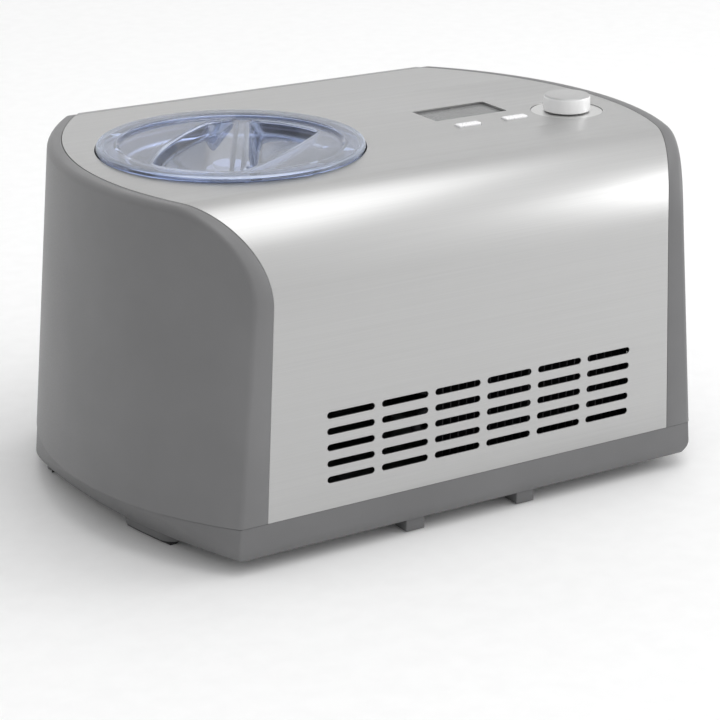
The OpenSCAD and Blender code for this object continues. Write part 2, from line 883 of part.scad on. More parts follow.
module left_button() push_button(button_xs[0]);
module right_button() push_button(button_xs[1]);

module dial_plate() {
  color(steel) translate([knob_x, knob_y, 0])
    difference() {
      union() {
        translate([0, 0, top_z - 2.2]) cylinder(r = dial_r, h = 1.7);
        translate([0, 0, top_z - 3.6]) cylinder(r = dial_r + 4, h = 1.5);
      }
      translate([0, 0, top_z - 10]) cylinder(r = 4.1, h = 20);
    }
}

module knob() {
  color([0.86, 0.86, 0.86]) translate([knob_x, knob_y, 0])
    difference() {
      rotate_extrude()
        polygon([[0, top_z + 0.3], [knob_dia / 2 - 0.6, top_z + 0.3], [knob_dia / 2, top_z + 0.9],
                 [knob_dia / 2 - 0.3, top_z + knob_h - 1.8], [knob_dia / 2 - 1.6, top_z + knob_h],
                 [0, top_z + knob_h]]);
      translate([0, 0, top_z]) cylinder(r = 3.01, h = knob_h - 3, $fn = 32);
    }
}

module selector_shaft() {
  color("silver") translate([knob_x, knob_y, top_z - 13]) cylinder(r = 3, h = knob_h + 9.8, $fn = 32);
}

module selector_switch() {
  color(dark) translate([knob_x, knob_y, 0])
    difference() {
      union() {
        translate([0, 0, top_z - 15]) rounded_box([20, 20, 8], 2);
        translate([0, 0, top_z - 8]) cylinder(r = 4, h = 6.2);
      }
      translate([0, 0, top_z - 13.2]) cylinder(r = 3.05, h = 40, $fn = 32);
    }
}

module power_board() {
  color("darkgreen") translate([-20, 126, 60]) cube([90, 1.6, 62]);
  color("black") {
    translate([-12, 104, 66]) cube([28, 22.1, 24]);
    translate([26, 112, 66]) cube([20, 14.1, 16]);
    translate([54, 126.1, 80]) rotate([90, 0, 0]) cylinder(r = 6, h = 18, $fn = 32);
    translate([20, 114, 100]) cube([40, 12.1, 10]);
  }
}

// A bundle of wires through the points, eight-sided, with a short block at each bend.
module wire_run(pts, r) {
  for (i = [0:len(pts) - 2]) {
    d = pts[i + 1] - pts[i];
    translate(pts[i])
      rotate([0, acos(d[2] / norm(d)), atan2(d[1], d[0])])
        cylinder(r = r, h = norm(d), $fn = 8);
  }
  for (i = [1:len(pts) - 2])
    translate(pts[i]) cube(2.4 * r, center = true);
}

module wiring_loom() {
  color("black") {
    wire_run([[-100, 127, 52], [-50, 124, 45], [-14, 122, 66]], 2);
    wire_run([[60, 120, 119], [70, 115, 170], [96, 60, 185], [96, 20, board_z - 2.4]], 2);
    wire_run([[0, 120, 63], [0, 90, 30], [26, 60, 25], [26, 18, 25]], 2);
    wire_run([[65, 122, 64], [30, 100, 30], [50, -20, 40], [fan_x, -64, 60]], 1.8);
    wire_run([[knob_x, knob_y, top_z - 17], [knob_x, 10, top_z - 28], [108, 28, board_z - 1.9]], 1.5);
  }
}

steel_wrap();
left_side_cover();
right_side_cover();
rear_panel();
base_tray();
rubber_feet();
bowl_collar();
lid();
mixing_bowl();
bowl_handle();
paddle();
evaporator_drum();
evaporator_coil();
insulation();
support_frame();
shaft_bush();
shaft_seal();
drive_shaft();
output_gear();
intermediate_gear();
gear_pin();
gearbox_housing();
gearbox_cover();
motor_pinion();
motor_rotor();
motor_stator();
motor_winding();
motor_bridge();
compressor();
compressor_mount();
compressor_grommets();
start_relay();
condenser();
fan_shroud();
fan_impeller();
fan_motor();
filter_drier();
capillary_tube();
discharge_pipe();
suction_pipe();
control_housing();
control_board();
lcd_module();
display_window();
left_button();
right_button();
button_switches();
dial_plate();
knob();
selector_shaft();
selector_switch();
power_board();
cord_grommet();
wiring_loom();
casing_screws();
gearbox_screws();
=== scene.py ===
import bpy
import bmesh
import json
import math
from mathutils import Matrix, Vector


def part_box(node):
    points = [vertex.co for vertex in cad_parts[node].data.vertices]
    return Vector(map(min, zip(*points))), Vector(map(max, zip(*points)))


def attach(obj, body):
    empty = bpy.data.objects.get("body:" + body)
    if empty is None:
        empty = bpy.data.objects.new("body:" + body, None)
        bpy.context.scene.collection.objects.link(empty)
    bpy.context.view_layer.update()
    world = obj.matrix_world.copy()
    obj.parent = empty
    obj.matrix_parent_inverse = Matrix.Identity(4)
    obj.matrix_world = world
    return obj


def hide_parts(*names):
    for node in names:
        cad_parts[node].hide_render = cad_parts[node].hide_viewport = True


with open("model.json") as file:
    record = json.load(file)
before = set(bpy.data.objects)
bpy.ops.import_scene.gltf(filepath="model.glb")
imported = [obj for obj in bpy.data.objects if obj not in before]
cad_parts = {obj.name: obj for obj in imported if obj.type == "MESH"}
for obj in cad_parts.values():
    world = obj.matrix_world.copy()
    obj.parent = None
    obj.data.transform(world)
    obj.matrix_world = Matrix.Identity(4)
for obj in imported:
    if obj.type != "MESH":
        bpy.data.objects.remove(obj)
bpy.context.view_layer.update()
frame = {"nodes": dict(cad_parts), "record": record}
nodes = frame["nodes"]

MM = 0.001

# ---- places and sizes taken from the frame ----
wrap_lo, wrap_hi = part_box("steel_wrap")
cover_lo, cover_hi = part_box("right_side_cover")
tray_lo, tray_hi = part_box("base_tray")
pads_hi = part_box("rubber_feet")[1]
comp_lo, comp_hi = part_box("compressor_grommets")
lid_lo, lid_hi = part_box("lid")
bowl_lo, bowl_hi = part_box("mixing_bowl")
collar_lo, collar_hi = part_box("bowl_collar")
knob_lo, knob_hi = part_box("knob")
dial_lo, dial_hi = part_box("dial_plate")
window_lo, window_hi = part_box("display_window")

FRONT_Y = cover_lo.y
BACK_Y = cover_hi.y
STEEL_BACK_Y = wrap_hi.y
TOP_Z = wrap_hi.z
SEAM_Z = wrap_lo.z
TRAY_TOP = tray_hi.z

# The sides bow out in plan, round a circle centred at depth BOW_Y.
BOW_Y = -4 * MM
SIDE_BOW = 52 * MM
HALF_DEPTH = (BACK_Y - FRONT_Y) / 2
BOW_R = (HALF_DEPTH ** 2 + SIDE_BOW ** 2) / (2 * SIDE_BOW)

# Half widths at the top, in the middle of the bow. The sides lean out towards the bottom.
STEEL_HALF = wrap_hi.x
SEAM_LEAN = math.radians(2.6)
SEAM_GAP = 0.35 * MM
COVER_HALF = 196 * MM
COVER_LOW_HALF = cover_hi.x - 0.1 * MM
COVER_LEAN = math.atan((COVER_LOW_HALF - COVER_HALF) / (TOP_Z - SEAM_Z))

BEND_R = 54 * MM
SHEET = 1.0 * MM
WALL = 2.5 * MM

BOWL = Vector(((bowl_lo.x + bowl_hi.x) / 2, (collar_lo.y + collar_hi.y) / 2, 0))
LID_R = (lid_hi.x - lid_lo.x) / 2
OPENING_R = LID_R + 0.7 * MM
SHELF_Z = TOP_Z - 7 * MM
KNOB = Vector(((knob_lo.x + knob_hi.x) / 2, (knob_lo.y + knob_hi.y) / 2, 0))
KNOB_R = (knob_hi.x - knob_lo.x) / 2
DIAL_R = (dial_hi.x - dial_lo.x) / 2 - 4 * MM


def side_x(y, z, half, lean):
    """Half width of a leaning, bowed side at height z and depth y."""
    r = BOW_R / math.cos(lean)
    bow = math.sqrt(max(1 - ((y - BOW_Y) / BOW_R) ** 2, 0.0))
    return half - r + (TOP_Z - z) * math.tan(lean) + r * bow


# ---- mesh helpers ----

def add_object(name, verts, faces, smooth=32.0):
    """A mesh object with merged points and outward normals. smooth is the angle that shade takes."""
    me = bpy.data.meshes.new(name)
    me.from_pydata([tuple(v) for v in verts], [], faces)
    me.validate()
    ob = bpy.data.objects.new(name, me)
    bpy.context.scene.collection.objects.link(ob)
    bm = bmesh.new()
    bm.from_mesh(me)
    bmesh.ops.remove_doubles(bm, verts=bm.verts, dist=1e-6)
    bmesh.ops.recalc_face_normals(bm, faces=bm.faces)
    bm.to_mesh(me)
    bm.free()
    shade(ob, smooth)
    return ob


def shade(ob, angle):
    """Smooth shading, but for edges that turn by more than angle degrees."""
    ob.data.shade_smooth()
    ob.data.set_sharp_from_angle(angle=math.radians(angle))


def bake(ob, smooth):
    """Applies the modifiers of ob."""
    dg = bpy.context.evaluated_depsgraph_get()
    me = bpy.data.meshes.new_from_object(ob.evaluated_get(dg))
    ob.modifiers.clear()
    old = ob.data
    ob.data = me
    bpy.data.meshes.remove(old)
    me.name = ob.name
    shade(ob, smooth)
    return ob


def cut(ob, cutters, smooth=32.0):
    """Takes the cutters out of ob, and deletes them."""
    for c in cutters:
        m = ob.modifiers.new("cut", "BOOLEAN")
        m.operation = "DIFFERENCE"
        m.solver = "EXACT"
        m.object = c
    bake(ob, smooth)
    for c in cutters:
        bpy.data.objects.remove(c, do_unlink=True)
    return ob


def bevel(ob, width, segments, angle=35.0, smooth=32.0):
    """Rounds the edges of ob that turn by more than angle degrees."""
    m = ob.modifiers.new("bevel", "BEVEL")
    m.width = width
    m.segments = segments
    m.limit_method = "ANGLE"
    m.angle_limit = math.radians(angle)
    m.use_clamp_overlap = True
    return bake(ob, smooth)


def join(name, obs, smooth=32.0):
    """One object from several."""
    verts, faces = [], []
    for o in obs:
        base = len(verts)
        verts += [o.matrix_world @ v.co for v in o.data.vertices]
        faces += [[base + i for i in p.vertices] for p in o.data.polygons]
    for o in obs:
        bpy.data.objects.remove(o, do_unlink=True)
    return add_object(name, verts, faces, smooth)


def rounded_path(points, steps):
    """Closed outline through (x, y, radius) corners, each rounded by an arc of steps parts."""
    out = []
    n = len(points)
    for i, (x, y, r) in enumerate(points):
        p = Vector((x, y))
        a = Vector(points[i - 1][:2]) - p
        b = Vector(points[(i + 1) % n][:2]) - p
        if r <= 0:
            out.append((x, y))
            continue
        a.normalize()
        b.normalize()
        half = math.acos(max(-1, min(1, a.dot(b)))) / 2
        if half > math.radians(89):
            out.append((x, y))
            continue
        reach = r / math.tan(half)
        c = p + (a + b).normalized() * (r / math.sin(half))
        p0, p1 = p + a * reach, p + b * reach
        a0 = math.atan2(p0.y - c.y, p0.x - c.x)
        turn = math.atan2(p1.y - c.y, p1.x - c.x) - a0
        turn = (turn + math.pi) % (2 * math.pi) - math.pi
        for k in range(steps + 1):
            t = a0 + turn * k / steps
            out.append((c.x + r * math.cos(t), c.y + r * math.sin(t)))
    return out


def corner_arc(x0, slope, r, steps):
    """Rounds the corner between an end face and a side that starts at x0 and widens by slope.

    Gives the arc's (x, depth behind the face) points, and the depth where it meets the side.
    """
    phi = math.atan(slope)
    t = r * math.tan((math.pi / 2 - phi) / 2)
    pts = []
    for k in range(steps + 1):
        a = (math.pi / 2 - phi) * k / steps
        pts.append((x0 - t + r * math.sin(a), r - r * math.cos(a)))
    return pts, t * math.cos(phi)


def lathe(name, profile, centre, segs):
    """A closed (radius, height) outline turned round the vertical through centre."""
    verts, faces = [], []
    n = len(profile)
    for k in range(segs):
        a = 2 * math.pi * k / segs
        for r, z in profile:
            verts.append((centre.x + r * math.cos(a), centre.y + r * math.sin(a), z))
    for k in range(segs):
        b, c = k * n, ((k + 1) % segs) * n
        for i in range(n):
            j = (i + 1) % n
            faces.append((b + i, c + i, c + j, b + j))
    return add_object(name, verts, faces)


def prism(name, outline, z0, z1):
    """A plan outline drawn up from z0 to z1."""
    n = len(outline)
    verts = [(x, y, z0) for x, y in outline] + [(x, y, z1) for x, y in outline]
    faces = [tuple(range(n - 1, -1, -1)), tuple(range(n, 2 * n))]
    faces += [(i, (i + 1) % n, n + (i + 1) % n, n + i) for i in range(n)]
    return add_object(name, verts, faces)


def block(name, cx, cy, w, d, z0, z1, r):
    """A block of width w and depth d with upright edges of radius r."""
    x, y = w / 2, d / 2
    pts = [(cx + x, cy + y, r), (cx - x, cy + y, r), (cx - x, cy - y, r), (cx + x, cy - y, r)]
    return prism(name, rounded_path(pts, 6), z0, z1)


def circle(cx, cy, r, n):
    """n points round a circle in plan."""
    turns = [2 * math.pi * k / n for k in range(n)]
    return [(cx + r * math.cos(a), cy + r * math.sin(a)) for a in turns]


def strips(name, loops, caps=(), smooth=32.0):
    """Quads between loops of equal length, with a face over each loop that caps lists."""
    n = len(loops[0])
    verts = [v for loop in loops for v in loop]
    faces = []
    for i in range(len(loops) - 1):
        for j in range(n):
            a, b = i * n + j, i * n + (j + 1) % n
            faces.append((a, b, b + n, a + n))
    for i in caps:
        faces.append(tuple(range(i * n, (i + 1) * n)))
    return add_object(name, verts, faces, smooth)


def show(ob, body, mats, slot, *replaced):
    """Gives ob its material, and puts it on its body in place of the nodes it replaces."""
    ob.data.materials.clear()
    ob.data.materials.append(mats[slot])
    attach(ob, body)
    if replaced:
        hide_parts(*replaced)
    return ob


# ---- materials ----

class Nodes:
    """Short names for building a shader."""

    def __init__(self, name):
        self.mat = bpy.data.materials.new(name)
        self.mat.use_nodes = True
        self.tree = self.mat.node_tree
        self.bsdf = self.tree.nodes["Principled BSDF"]
        self.out = self.tree.nodes["Material Output"]
        self.coord = self.tree.nodes.new("ShaderNodeTexCoord").outputs["Object"]

    def link(self, a, b):
        self.tree.links.new(a, b)

    def scaled(self, scale):
        """The object's coordinates, stretched by a factor for each direction."""
        m = self.tree.nodes.new("ShaderNodeMapping")
        m.inputs["Scale"].default_value = scale
        self.link(self.coord, m.inputs["Vector"])
        return m.outputs["Vector"]

    def noise(self, vector, scale, detail, rough=0.55):
        n = self.tree.nodes.new("ShaderNodeTexNoise")
        n.inputs["Scale"].default_value = scale
        n.inputs["Detail"].default_value = detail
        n.inputs["Roughness"].default_value = rough
        self.link(vector, n.inputs["Vector"])
        return n.outputs["Fac"]

    def span(self, value, lo, hi, from_lo=0.3, from_hi=0.7):
        """Runs from lo to hi while value runs from from_lo to from_hi."""
        m = self.tree.nodes.new("ShaderNodeMapRange")
        m.inputs["From Min"].default_value = from_lo
        m.inputs["From Max"].default_value = from_hi
        m.inputs["To Min"].default_value = lo
        m.inputs["To Max"].default_value = hi
        self.link(value, m.inputs["Value"])
        return m.outputs["Result"]

    def ramp(self, value, a, b, at_a=0.35, at_b=0.65):
        """Blends colour a into colour b while value runs from at_a to at_b."""
        r = self.tree.nodes.new("ShaderNodeValToRGB")
        r.color_ramp.elements[0].position = at_a
        r.color_ramp.elements[1].position = at_b
        r.color_ramp.elements[0].color = (*a, 1)
        r.color_ramp.elements[1].color = (*b, 1)
        self.link(value, r.inputs["Fac"])
        return r.outputs["Color"]

    def bump(self, height, strength, distance):
        b = self.tree.nodes.new("ShaderNodeBump")
        b.inputs["Strength"].default_value = strength
        b.inputs["Distance"].default_value = distance
        self.link(height, b.inputs["Height"])
        self.link(b.outputs["Normal"], self.bsdf.inputs["Normal"])

    def set(self, **values):
        """Fixed values for the surface, with _ for the space in a socket's name."""
        for key, value in values.items():
            self.bsdf.inputs[key.replace("_", " ")].default_value = value

    def to(self, value, socket):
        """Drives a socket of the surface."""
        self.link(value, self.bsdf.inputs[socket])


def shift(c, k):
    """A colour made lighter or darker by the factor k."""
    return tuple(max(0.0, min(1.0, x * k)) for x in c)


def plastic(name, colour, rough, grain=1500.0, depth=0.02 * MM, strength=0.35, spread=0.05):
    """Moulded plastic: a fine spark-eroded grain with slight colour and gloss drift."""
    n = Nodes(name)
    wide = n.noise(n.coord, 14.0, 3.0)
    fine = n.noise(n.coord, grain, 2.0)
    n.to(n.ramp(wide, shift(colour, 1 - spread), shift(colour, 1 + spread)), "Base Color")
    n.to(n.span(fine, rough - 0.05, rough + 0.06), "Roughness")
    n.bump(fine, strength, depth)
    return n.mat


def brushed(name, colour, rough, along, dense):
    """Metal with fine straight brushing: along holds the frequency in each direction."""
    n = Nodes(name)
    lines = n.noise(n.scaled(along), dense, 4.0, 0.7)
    broad = n.noise(n.scaled(tuple(x * 0.08 for x in along)), dense, 2.0)
    n.to(n.ramp(lines, shift(colour, 0.96), shift(colour, 1.024)), "Base Color")
    n.to(n.span(broad, rough - 0.03, rough + 0.03), "Roughness")
    n.bump(lines, 0.35, 0.008 * MM)
    n.set(Metallic=1.0)
    return n.mat


def spun(name, colour, rough, centre, wall=None):
    """Turned metal: rings round a vertical axis. wall, if given, is a lighter colour for the upright
    faces: painted light, standing in for the brighter lighting on the sides.
    """
    n = Nodes(name)
    moved = n.tree.nodes.new("ShaderNodeVectorMath")
    moved.operation = "SUBTRACT"
    n.link(n.coord, moved.inputs[0])
    moved.inputs[1].default_value = (centre.x, centre.y, 0)
    split = n.tree.nodes.new("ShaderNodeSeparateXYZ")
    n.link(moved.outputs["Vector"], split.inputs["Vector"])
    flat = n.tree.nodes.new("ShaderNodeCombineXYZ")
    n.link(split.outputs["X"], flat.inputs["X"])
    n.link(split.outputs["Y"], flat.inputs["Y"])
    size = n.tree.nodes.new("ShaderNodeVectorMath")
    size.operation = "LENGTH"
    n.link(flat.outputs["Vector"], size.inputs[0])
    ring = n.tree.nodes.new("ShaderNodeCombineXYZ")
    n.link(size.outputs["Value"], ring.inputs["X"])
    n.link(split.outputs["Z"], ring.inputs["Y"])
    lines = n.noise(ring.outputs["Vector"], 2600.0, 3.0, 0.7)
    wide = n.noise(n.coord, 25.0, 2.0)
    base = n.ramp(lines, shift(colour, 0.95), shift(colour, 1.025))
    # Painted light: faces whose normal points little upwards take the lighter wall colour, and the metal
    # is only partly metallic.
    if wall:
        facing = n.tree.nodes.new("ShaderNodeSeparateXYZ")
        n.link(n.tree.nodes.new("ShaderNodeTexCoord").outputs["Normal"], facing.inputs["Vector"])
        # A mix node's colour sockets share their names with others: 6 and 7 go in, 2 comes out.
        side = n.tree.nodes.new("ShaderNodeMix")
        side.data_type = "RGBA"
        n.link(n.span(facing.outputs["Z"], 0.0, 1.0), side.inputs[0])
        side.inputs[6].default_value = (*wall, 1)
        n.link(base, side.inputs[7])
        base = side.outputs[2]
    n.to(base, "Base Color")
    n.to(n.span(wide, rough - 0.04, rough + 0.04), "Roughness")
    n.bump(lines, 0.3, 0.006 * MM)
    n.set(Metallic=1.0 if wall is None else 0.3)
    return n.mat


def metal(name, colour, rough, grain=500.0, depth=0.01 * MM, metallic=1.0, spread=0.06):
    """Plain sheet, cast or drawn metal with a faint mottle."""
    n = Nodes(name)
    wide = n.noise(n.coord, 40.0, 4.0)
    fine = n.noise(n.coord, grain, 3.0)
    n.to(n.ramp(wide, shift(colour, 1 - spread), shift(colour, 1 + spread)), "Base Color")
    n.to(n.span(fine, rough - 0.06, rough + 0.08), "Roughness")
    n.bump(fine, 0.25, depth)
    n.set(Metallic=metallic)
    return n.mat


def foam(name, colour):
    """Moulded beads."""
    n = Nodes(name)
    beads = n.tree.nodes.new("ShaderNodeTexVoronoi")
    beads.inputs["Scale"].default_value = 260.0
    n.link(n.coord, beads.inputs["Vector"])
    n.to(n.ramp(beads.outputs["Distance"], colour, shift(colour, 0.7), 0.2, 0.8), "Base Color")
    n.bump(beads.outputs["Distance"], 0.5, 0.3 * MM)
    n.set(Roughness=0.9)
    return n.mat


def stacked(name, colour):
    """Thin laminations lying flat on each other."""
    n = Nodes(name)
    w = n.tree.nodes.new("ShaderNodeTexWave")
    w.bands_direction = "Z"
    w.inputs["Scale"].default_value = 320.0
    n.link(n.coord, w.inputs["Vector"])
    n.to(n.ramp(w.outputs["Fac"], shift(colour, 0.6), colour), "Base Color")
    n.bump(w.outputs["Fac"], 0.5, 0.05 * MM)
    n.set(Roughness=0.5, Metallic=0.8)
    return n.mat


# How bent a clear surface has to be for its painted highlight to start, and to reach full strength.
PAINTED_HIGHLIGHT_STARTS = 0.507
PAINTED_HIGHLIGHT_FULL = 0.56


def clear(name, tint, rough=0.03, haze=0.1, haze_and_highlight_colour=(0.8, 0.83, 0.95), ior=1.46, edge=0.0):
    """Clear moulded plastic: faint tint, light flow marks, a little haze, and a painted highlight on
    sharply bent edges, drawn in the haze colour with strength edge.
    """
    n = Nodes(name)
    wide = n.noise(n.coord, 30.0, 3.0)
    fine = n.noise(n.coord, 900.0, 2.0)
    n.to(n.ramp(wide, shift(tint, 0.985), tint), "Base Color")
    n.to(n.span(fine, rough, rough + 0.03), "Roughness")
    n.bump(wide, 0.25, 0.12 * MM)
    n.set(IOR=ior)
    n.bsdf.inputs["Transmission Weight"].default_value = 1.0
    mix = n.tree.nodes.new("ShaderNodeMixShader")
    haze_and_highlight_diffuse = n.tree.nodes.new("ShaderNodeBsdfDiffuse")
    haze_and_highlight_diffuse.inputs["Color"].default_value = (*haze_and_highlight_colour, 1)
    haze_and_highlight_amount = n.tree.nodes.new("ShaderNodeMath")
    # Painted highlight: convex edges, found by their pointiness, get more of the white-blue haze diffuse,
    # up to the strength edge.
    bend = n.tree.nodes.new("ShaderNodeNewGeometry").outputs["Pointiness"]
    n.link(n.span(wide, haze * 0.8, haze * 1.2), haze_and_highlight_amount.inputs[0])
    n.link(n.span(bend, 0.0, edge, PAINTED_HIGHLIGHT_STARTS, PAINTED_HIGHLIGHT_FULL), haze_and_highlight_amount.inputs[1])
    n.link(haze_and_highlight_amount.outputs[0], mix.inputs[0])
    n.link(n.bsdf.outputs[0], mix.inputs[1])
    n.link(haze_and_highlight_diffuse.outputs[0], mix.inputs[2])
    n.link(mix.outputs[0], n.out.inputs["Surface"])
    return n.mat


# The steel's brushing varies slowly along x and fast across it, so its lines run along x.
BRUSH = (1.2, 420.0, 420.0)
mats = {
    "wrap_steel": brushed("wrap_steel", (0.5, 0.5, 0.498), 0.36, BRUSH, 6.0),
    "cover_plastic": plastic("cover_plastic", (0.165, 0.165, 0.168), 0.42),
    "rim_plastic": plastic("rim_plastic", (0.3, 0.3, 0.303), 0.42),
    "base_plastic": plastic("base_plastic", (0.15, 0.15, 0.153), 0.46),
    "foot_rubber": plastic("foot_rubber", (0.02, 0.02, 0.021), 0.75, 700.0, 0.05 * MM, 0.5),
    "collar_plastic": plastic("collar_plastic", (0.02, 0.02, 0.022), 0.4),
    # The last value, 0.85, is the strength of the painted highlight along the lid's bent edges.
    "lid_clear": clear("lid_clear", (0.71, 0.785, 1.0), 0.015, 0.055, (0.78, 0.86, 1.0), 1.42, 0.85),
    # The bowl's dark violet-brown colour is painted shade, standing in for the shaded inside of the bowl.
    "bowl_metal": spun("bowl_metal", (0.16, 0.143, 0.155), 0.2, BOWL),
    "handle_wire": metal("handle_wire", (0.72, 0.72, 0.73), 0.18, 900.0, 0.004 * MM),
    "paddle_plastic": plastic("paddle_plastic", (0.9, 0.9, 0.92), 0.38, 1100.0, 0.015 * MM, 0.3, 0.02),
    "drum_metal": spun("drum_metal", (0.5, 0.5, 0.51), 0.38, BOWL),
    "copper": metal("copper", (0.62, 0.3, 0.18), 0.34),
    # The foam's charcoal colour is painted shade, so that it stays dark behind the front vents.
    "foam_charcoal": foam("foam_charcoal", (0.05, 0.05, 0.052)),
    "frame_zinc": metal("frame_zinc", (0.42, 0.43, 0.44), 0.42, 160.0),
    "bush_bronze": metal("bush_bronze", (0.42, 0.27, 0.1), 0.45),
    "seal_rubber": plastic("seal_rubber", (0.025, 0.025, 0.027), 0.65, 800.0, 0.04 * MM, 0.4),
    "shaft_steel": metal("shaft_steel", (0.58, 0.58, 0.59), 0.24, 1500.0),
    "gear_plastic": plastic("gear_plastic", (0.74, 0.72, 0.64), 0.42),
    "black_plastic": plastic("black_plastic", (0.018, 0.018, 0.02), 0.45),
    "laminations": stacked("laminations", (0.3, 0.3, 0.31)),
    "compressor_paint": metal("compressor_paint", (0.015, 0.015, 0.017), 0.3, 300.0, 0.03 * MM, 0.0),
    # The fins' near-black colour is painted shade, so that the front vents read dark.
    "fin_coated": metal("fin_coated", (0.02, 0.02, 0.022), 0.5, 300.0, 0.02 * MM, 0.2),
    "board_green": plastic("board_green", (0.015, 0.08, 0.03), 0.35, 400.0, 0.04 * MM, 0.5, 0.2),
    "lcd_glass": plastic("lcd_glass", (0.36, 0.37, 0.37), 0.3, 300.0, 0.004 * MM, 0.15, 0.08),
    "window_clear": clear("window_clear", (0.8, 0.81, 0.82), 0.08, 0.45, (0.34, 0.345, 0.345)),
    "button_plastic": metal("button_plastic", (0.93, 0.93, 0.94), 0.3, 1200.0, 0.001 * MM, 0.3, 0.01),
    "dial_steel": spun("dial_steel", (0.7, 0.7, 0.695), 0.34, KNOB),
    # The knob's top is 0.44 and its upright sides 0.95: the lighter sides are painted light.
    "knob_metal": spun("knob_metal", (0.44, 0.44, 0.44), 0.3, KNOB, wall=(0.95, 0.95, 0.95)),
    "wire_pvc": plastic("wire_pvc", (0.03, 0.03, 0.03), 0.5),
}

# Pieces that keep their CAD mesh take the material that the record names.
for row in frame["record"]["subparts"]:
    ob = nodes[row["node"]]
    ob.data.materials.clear()
    ob.data.materials.append(mats[row["material_slot"]])

# ---- steel wrap: one sheet bent over the front edge, with its openings ----

BEND_C = (FRONT_Y + BEND_R, TOP_Z - BEND_R)
BEND_STEPS = 48
FRONT_STEPS = 6
TOP_STEPS = 24


def wrap_profile(inset):
    """(y, z) from the bottom of the front, over the bend, to the back of the top."""
    r = BEND_R - inset
    front_h = BEND_C[1] - SEAM_Z
    top_d = STEEL_BACK_Y - BEND_C[0]
    pts = [(FRONT_Y + inset, SEAM_Z + front_h * k / FRONT_STEPS) for k in range(FRONT_STEPS)]
    for k in range(BEND_STEPS + 1):
        a = math.pi - math.pi / 2 * k / BEND_STEPS
        pts.append((BEND_C[0] + r * math.cos(a), BEND_C[1] + r * math.sin(a)))
    pts += [(BEND_C[0] + top_d * k / TOP_STEPS, TOP_Z - inset) for k in range(1, TOP_STEPS + 1)]
    return pts


def sheet_solid():
    """The bent sheet as a closed solid, before its openings are cut."""
    verts, faces = [], []
    rows = []
    for inset in (0.0, SHEET):
        for y, z in wrap_profile(inset):
            x = side_x(y, z, STEEL_HALF, SEAM_LEAN)
            rows.append(len(verts))
            verts += [(-x, y, z), (x, y, z)]
    n = len(rows) // 2
    for i in range(n - 1):
        a, b, c, d = rows[i], rows[i + 1], rows[n + i], rows[n + i + 1]
        faces += [(a, a + 1, b + 1, b), (c, d, d + 1, c + 1), (a, b, d, c), (a + 1, c + 1, d + 1, b + 1)]
    a, c = rows[0], rows[n]
    faces.append((a, c, c + 1, a + 1))
    a, c = rows[n - 1], rows[2 * n - 1]
    faces.append((a, a + 1, c + 1, c))
    return add_object("steel_wrap_sheet", verts, faces, 20.0)


# The grid of vents in the front: VENT_X0 and VENT_Z0 are the middle of the top left one.
VENT_COLS = 6
VENT_ROWS = 5
VENT_PITCH_X = 37.3 * MM
VENT_PITCH_Z = 10.1 * MM
VENT_X0 = -89.7 * MM
VENT_Z0 = 89.6 * MM
VENT_LEN = 32.4 * MM
VENT_H = 4.2 * MM
VENT_CUT = 5 * MM


def vent_outline():
    """One vent about its own centre: a slot with round ends."""
    r = VENT_H / 2
    d = VENT_LEN / 2 - r
    pts = []
    for s in (1, -1):
        for k in range(11):
            a = math.radians(-90 + 180 * k / 10)
            pts.append((s * (d + r * math.cos(a)), s * r * math.sin(a)))
    return pts


def vent_cutter():
    """All the front vents as one cutter."""
    verts, faces = [], []
    outline = vent_outline()
    n = len(outline)
    for i in range(VENT_COLS):
        for j in range(VENT_ROWS):
            cx, cz = VENT_X0 + i * VENT_PITCH_X, VENT_Z0 - j * VENT_PITCH_Z
            b = len(verts)
            for y in (FRONT_Y - VENT_CUT, FRONT_Y + VENT_CUT):
                verts += [(cx + x, y, cz + z) for x, z in outline]
            faces.append(tuple(b + k for k in range(n)))
            faces.append(tuple(b + n + k for k in range(n - 1, -1, -1)))
            faces += [(b + k, b + n + k, b + n + (k + 1) % n, b + (k + 1) % n) for k in range(n)]
    return add_object("vent_cutter", verts, faces)


REAR_CORNER_R = 14 * MM
PAST_SIDE = 3 * MM
PAST_BACK = 1 * MM


def rear_corner(name, s, widen, z0, z1):
    """The sliver in plan between the steel's rounded rear corner, the seam and the rear edge.

    With widen at 0 it is a cutter, and runs on past the side and the back of the sheet.
    """
    half = STEEL_HALF + widen
    past_x, past_y = (PAST_SIDE, PAST_BACK) if widen == 0 else (0.0, 0.0)
    end_y = STEEL_BACK_Y + past_y
    x0 = side_x(STEEL_BACK_Y, TOP_Z, half, SEAM_LEAN)
    slope = (side_x(STEEL_BACK_Y - REAR_CORNER_R, TOP_Z, half, SEAM_LEAN) - x0) / REAR_CORNER_R
    arc, _ = corner_arc(x0, slope, REAR_CORNER_R, 12)
    loop = [(x, STEEL_BACK_Y - depth) for x, depth in arc]
    arc_y = loop[-1][1]
    for i in range(7):
        y = arc_y + (end_y - arc_y) * i / 6
        loop.append((side_x(y, TOP_Z, half, SEAM_LEAN) + past_x, y))
    if widen == 0:
        loop.append((loop[0][0], end_y))
    return prism(name, [(s * x, y) for x, y in loop][::s], z0, z1)


CUT_LOW = TOP_Z - 10 * MM
CUT_HIGH = TOP_Z + 10 * MM
DIAL_GAP = 0.3 * MM
WINDOW_LAP = 0.2 * MM
BUTTON_GAP = 0.4 * MM


def box_cutter(name, low, high, gap, corner_r):
    """Cutter through the top over the box from low to high, wider by gap all round."""
    c = (low + high) / 2
    size = high - low
    return block(name, c.x, c.y, size.x + 2 * gap, size.y + 2 * gap, CUT_LOW, CUT_HIGH, corner_r)


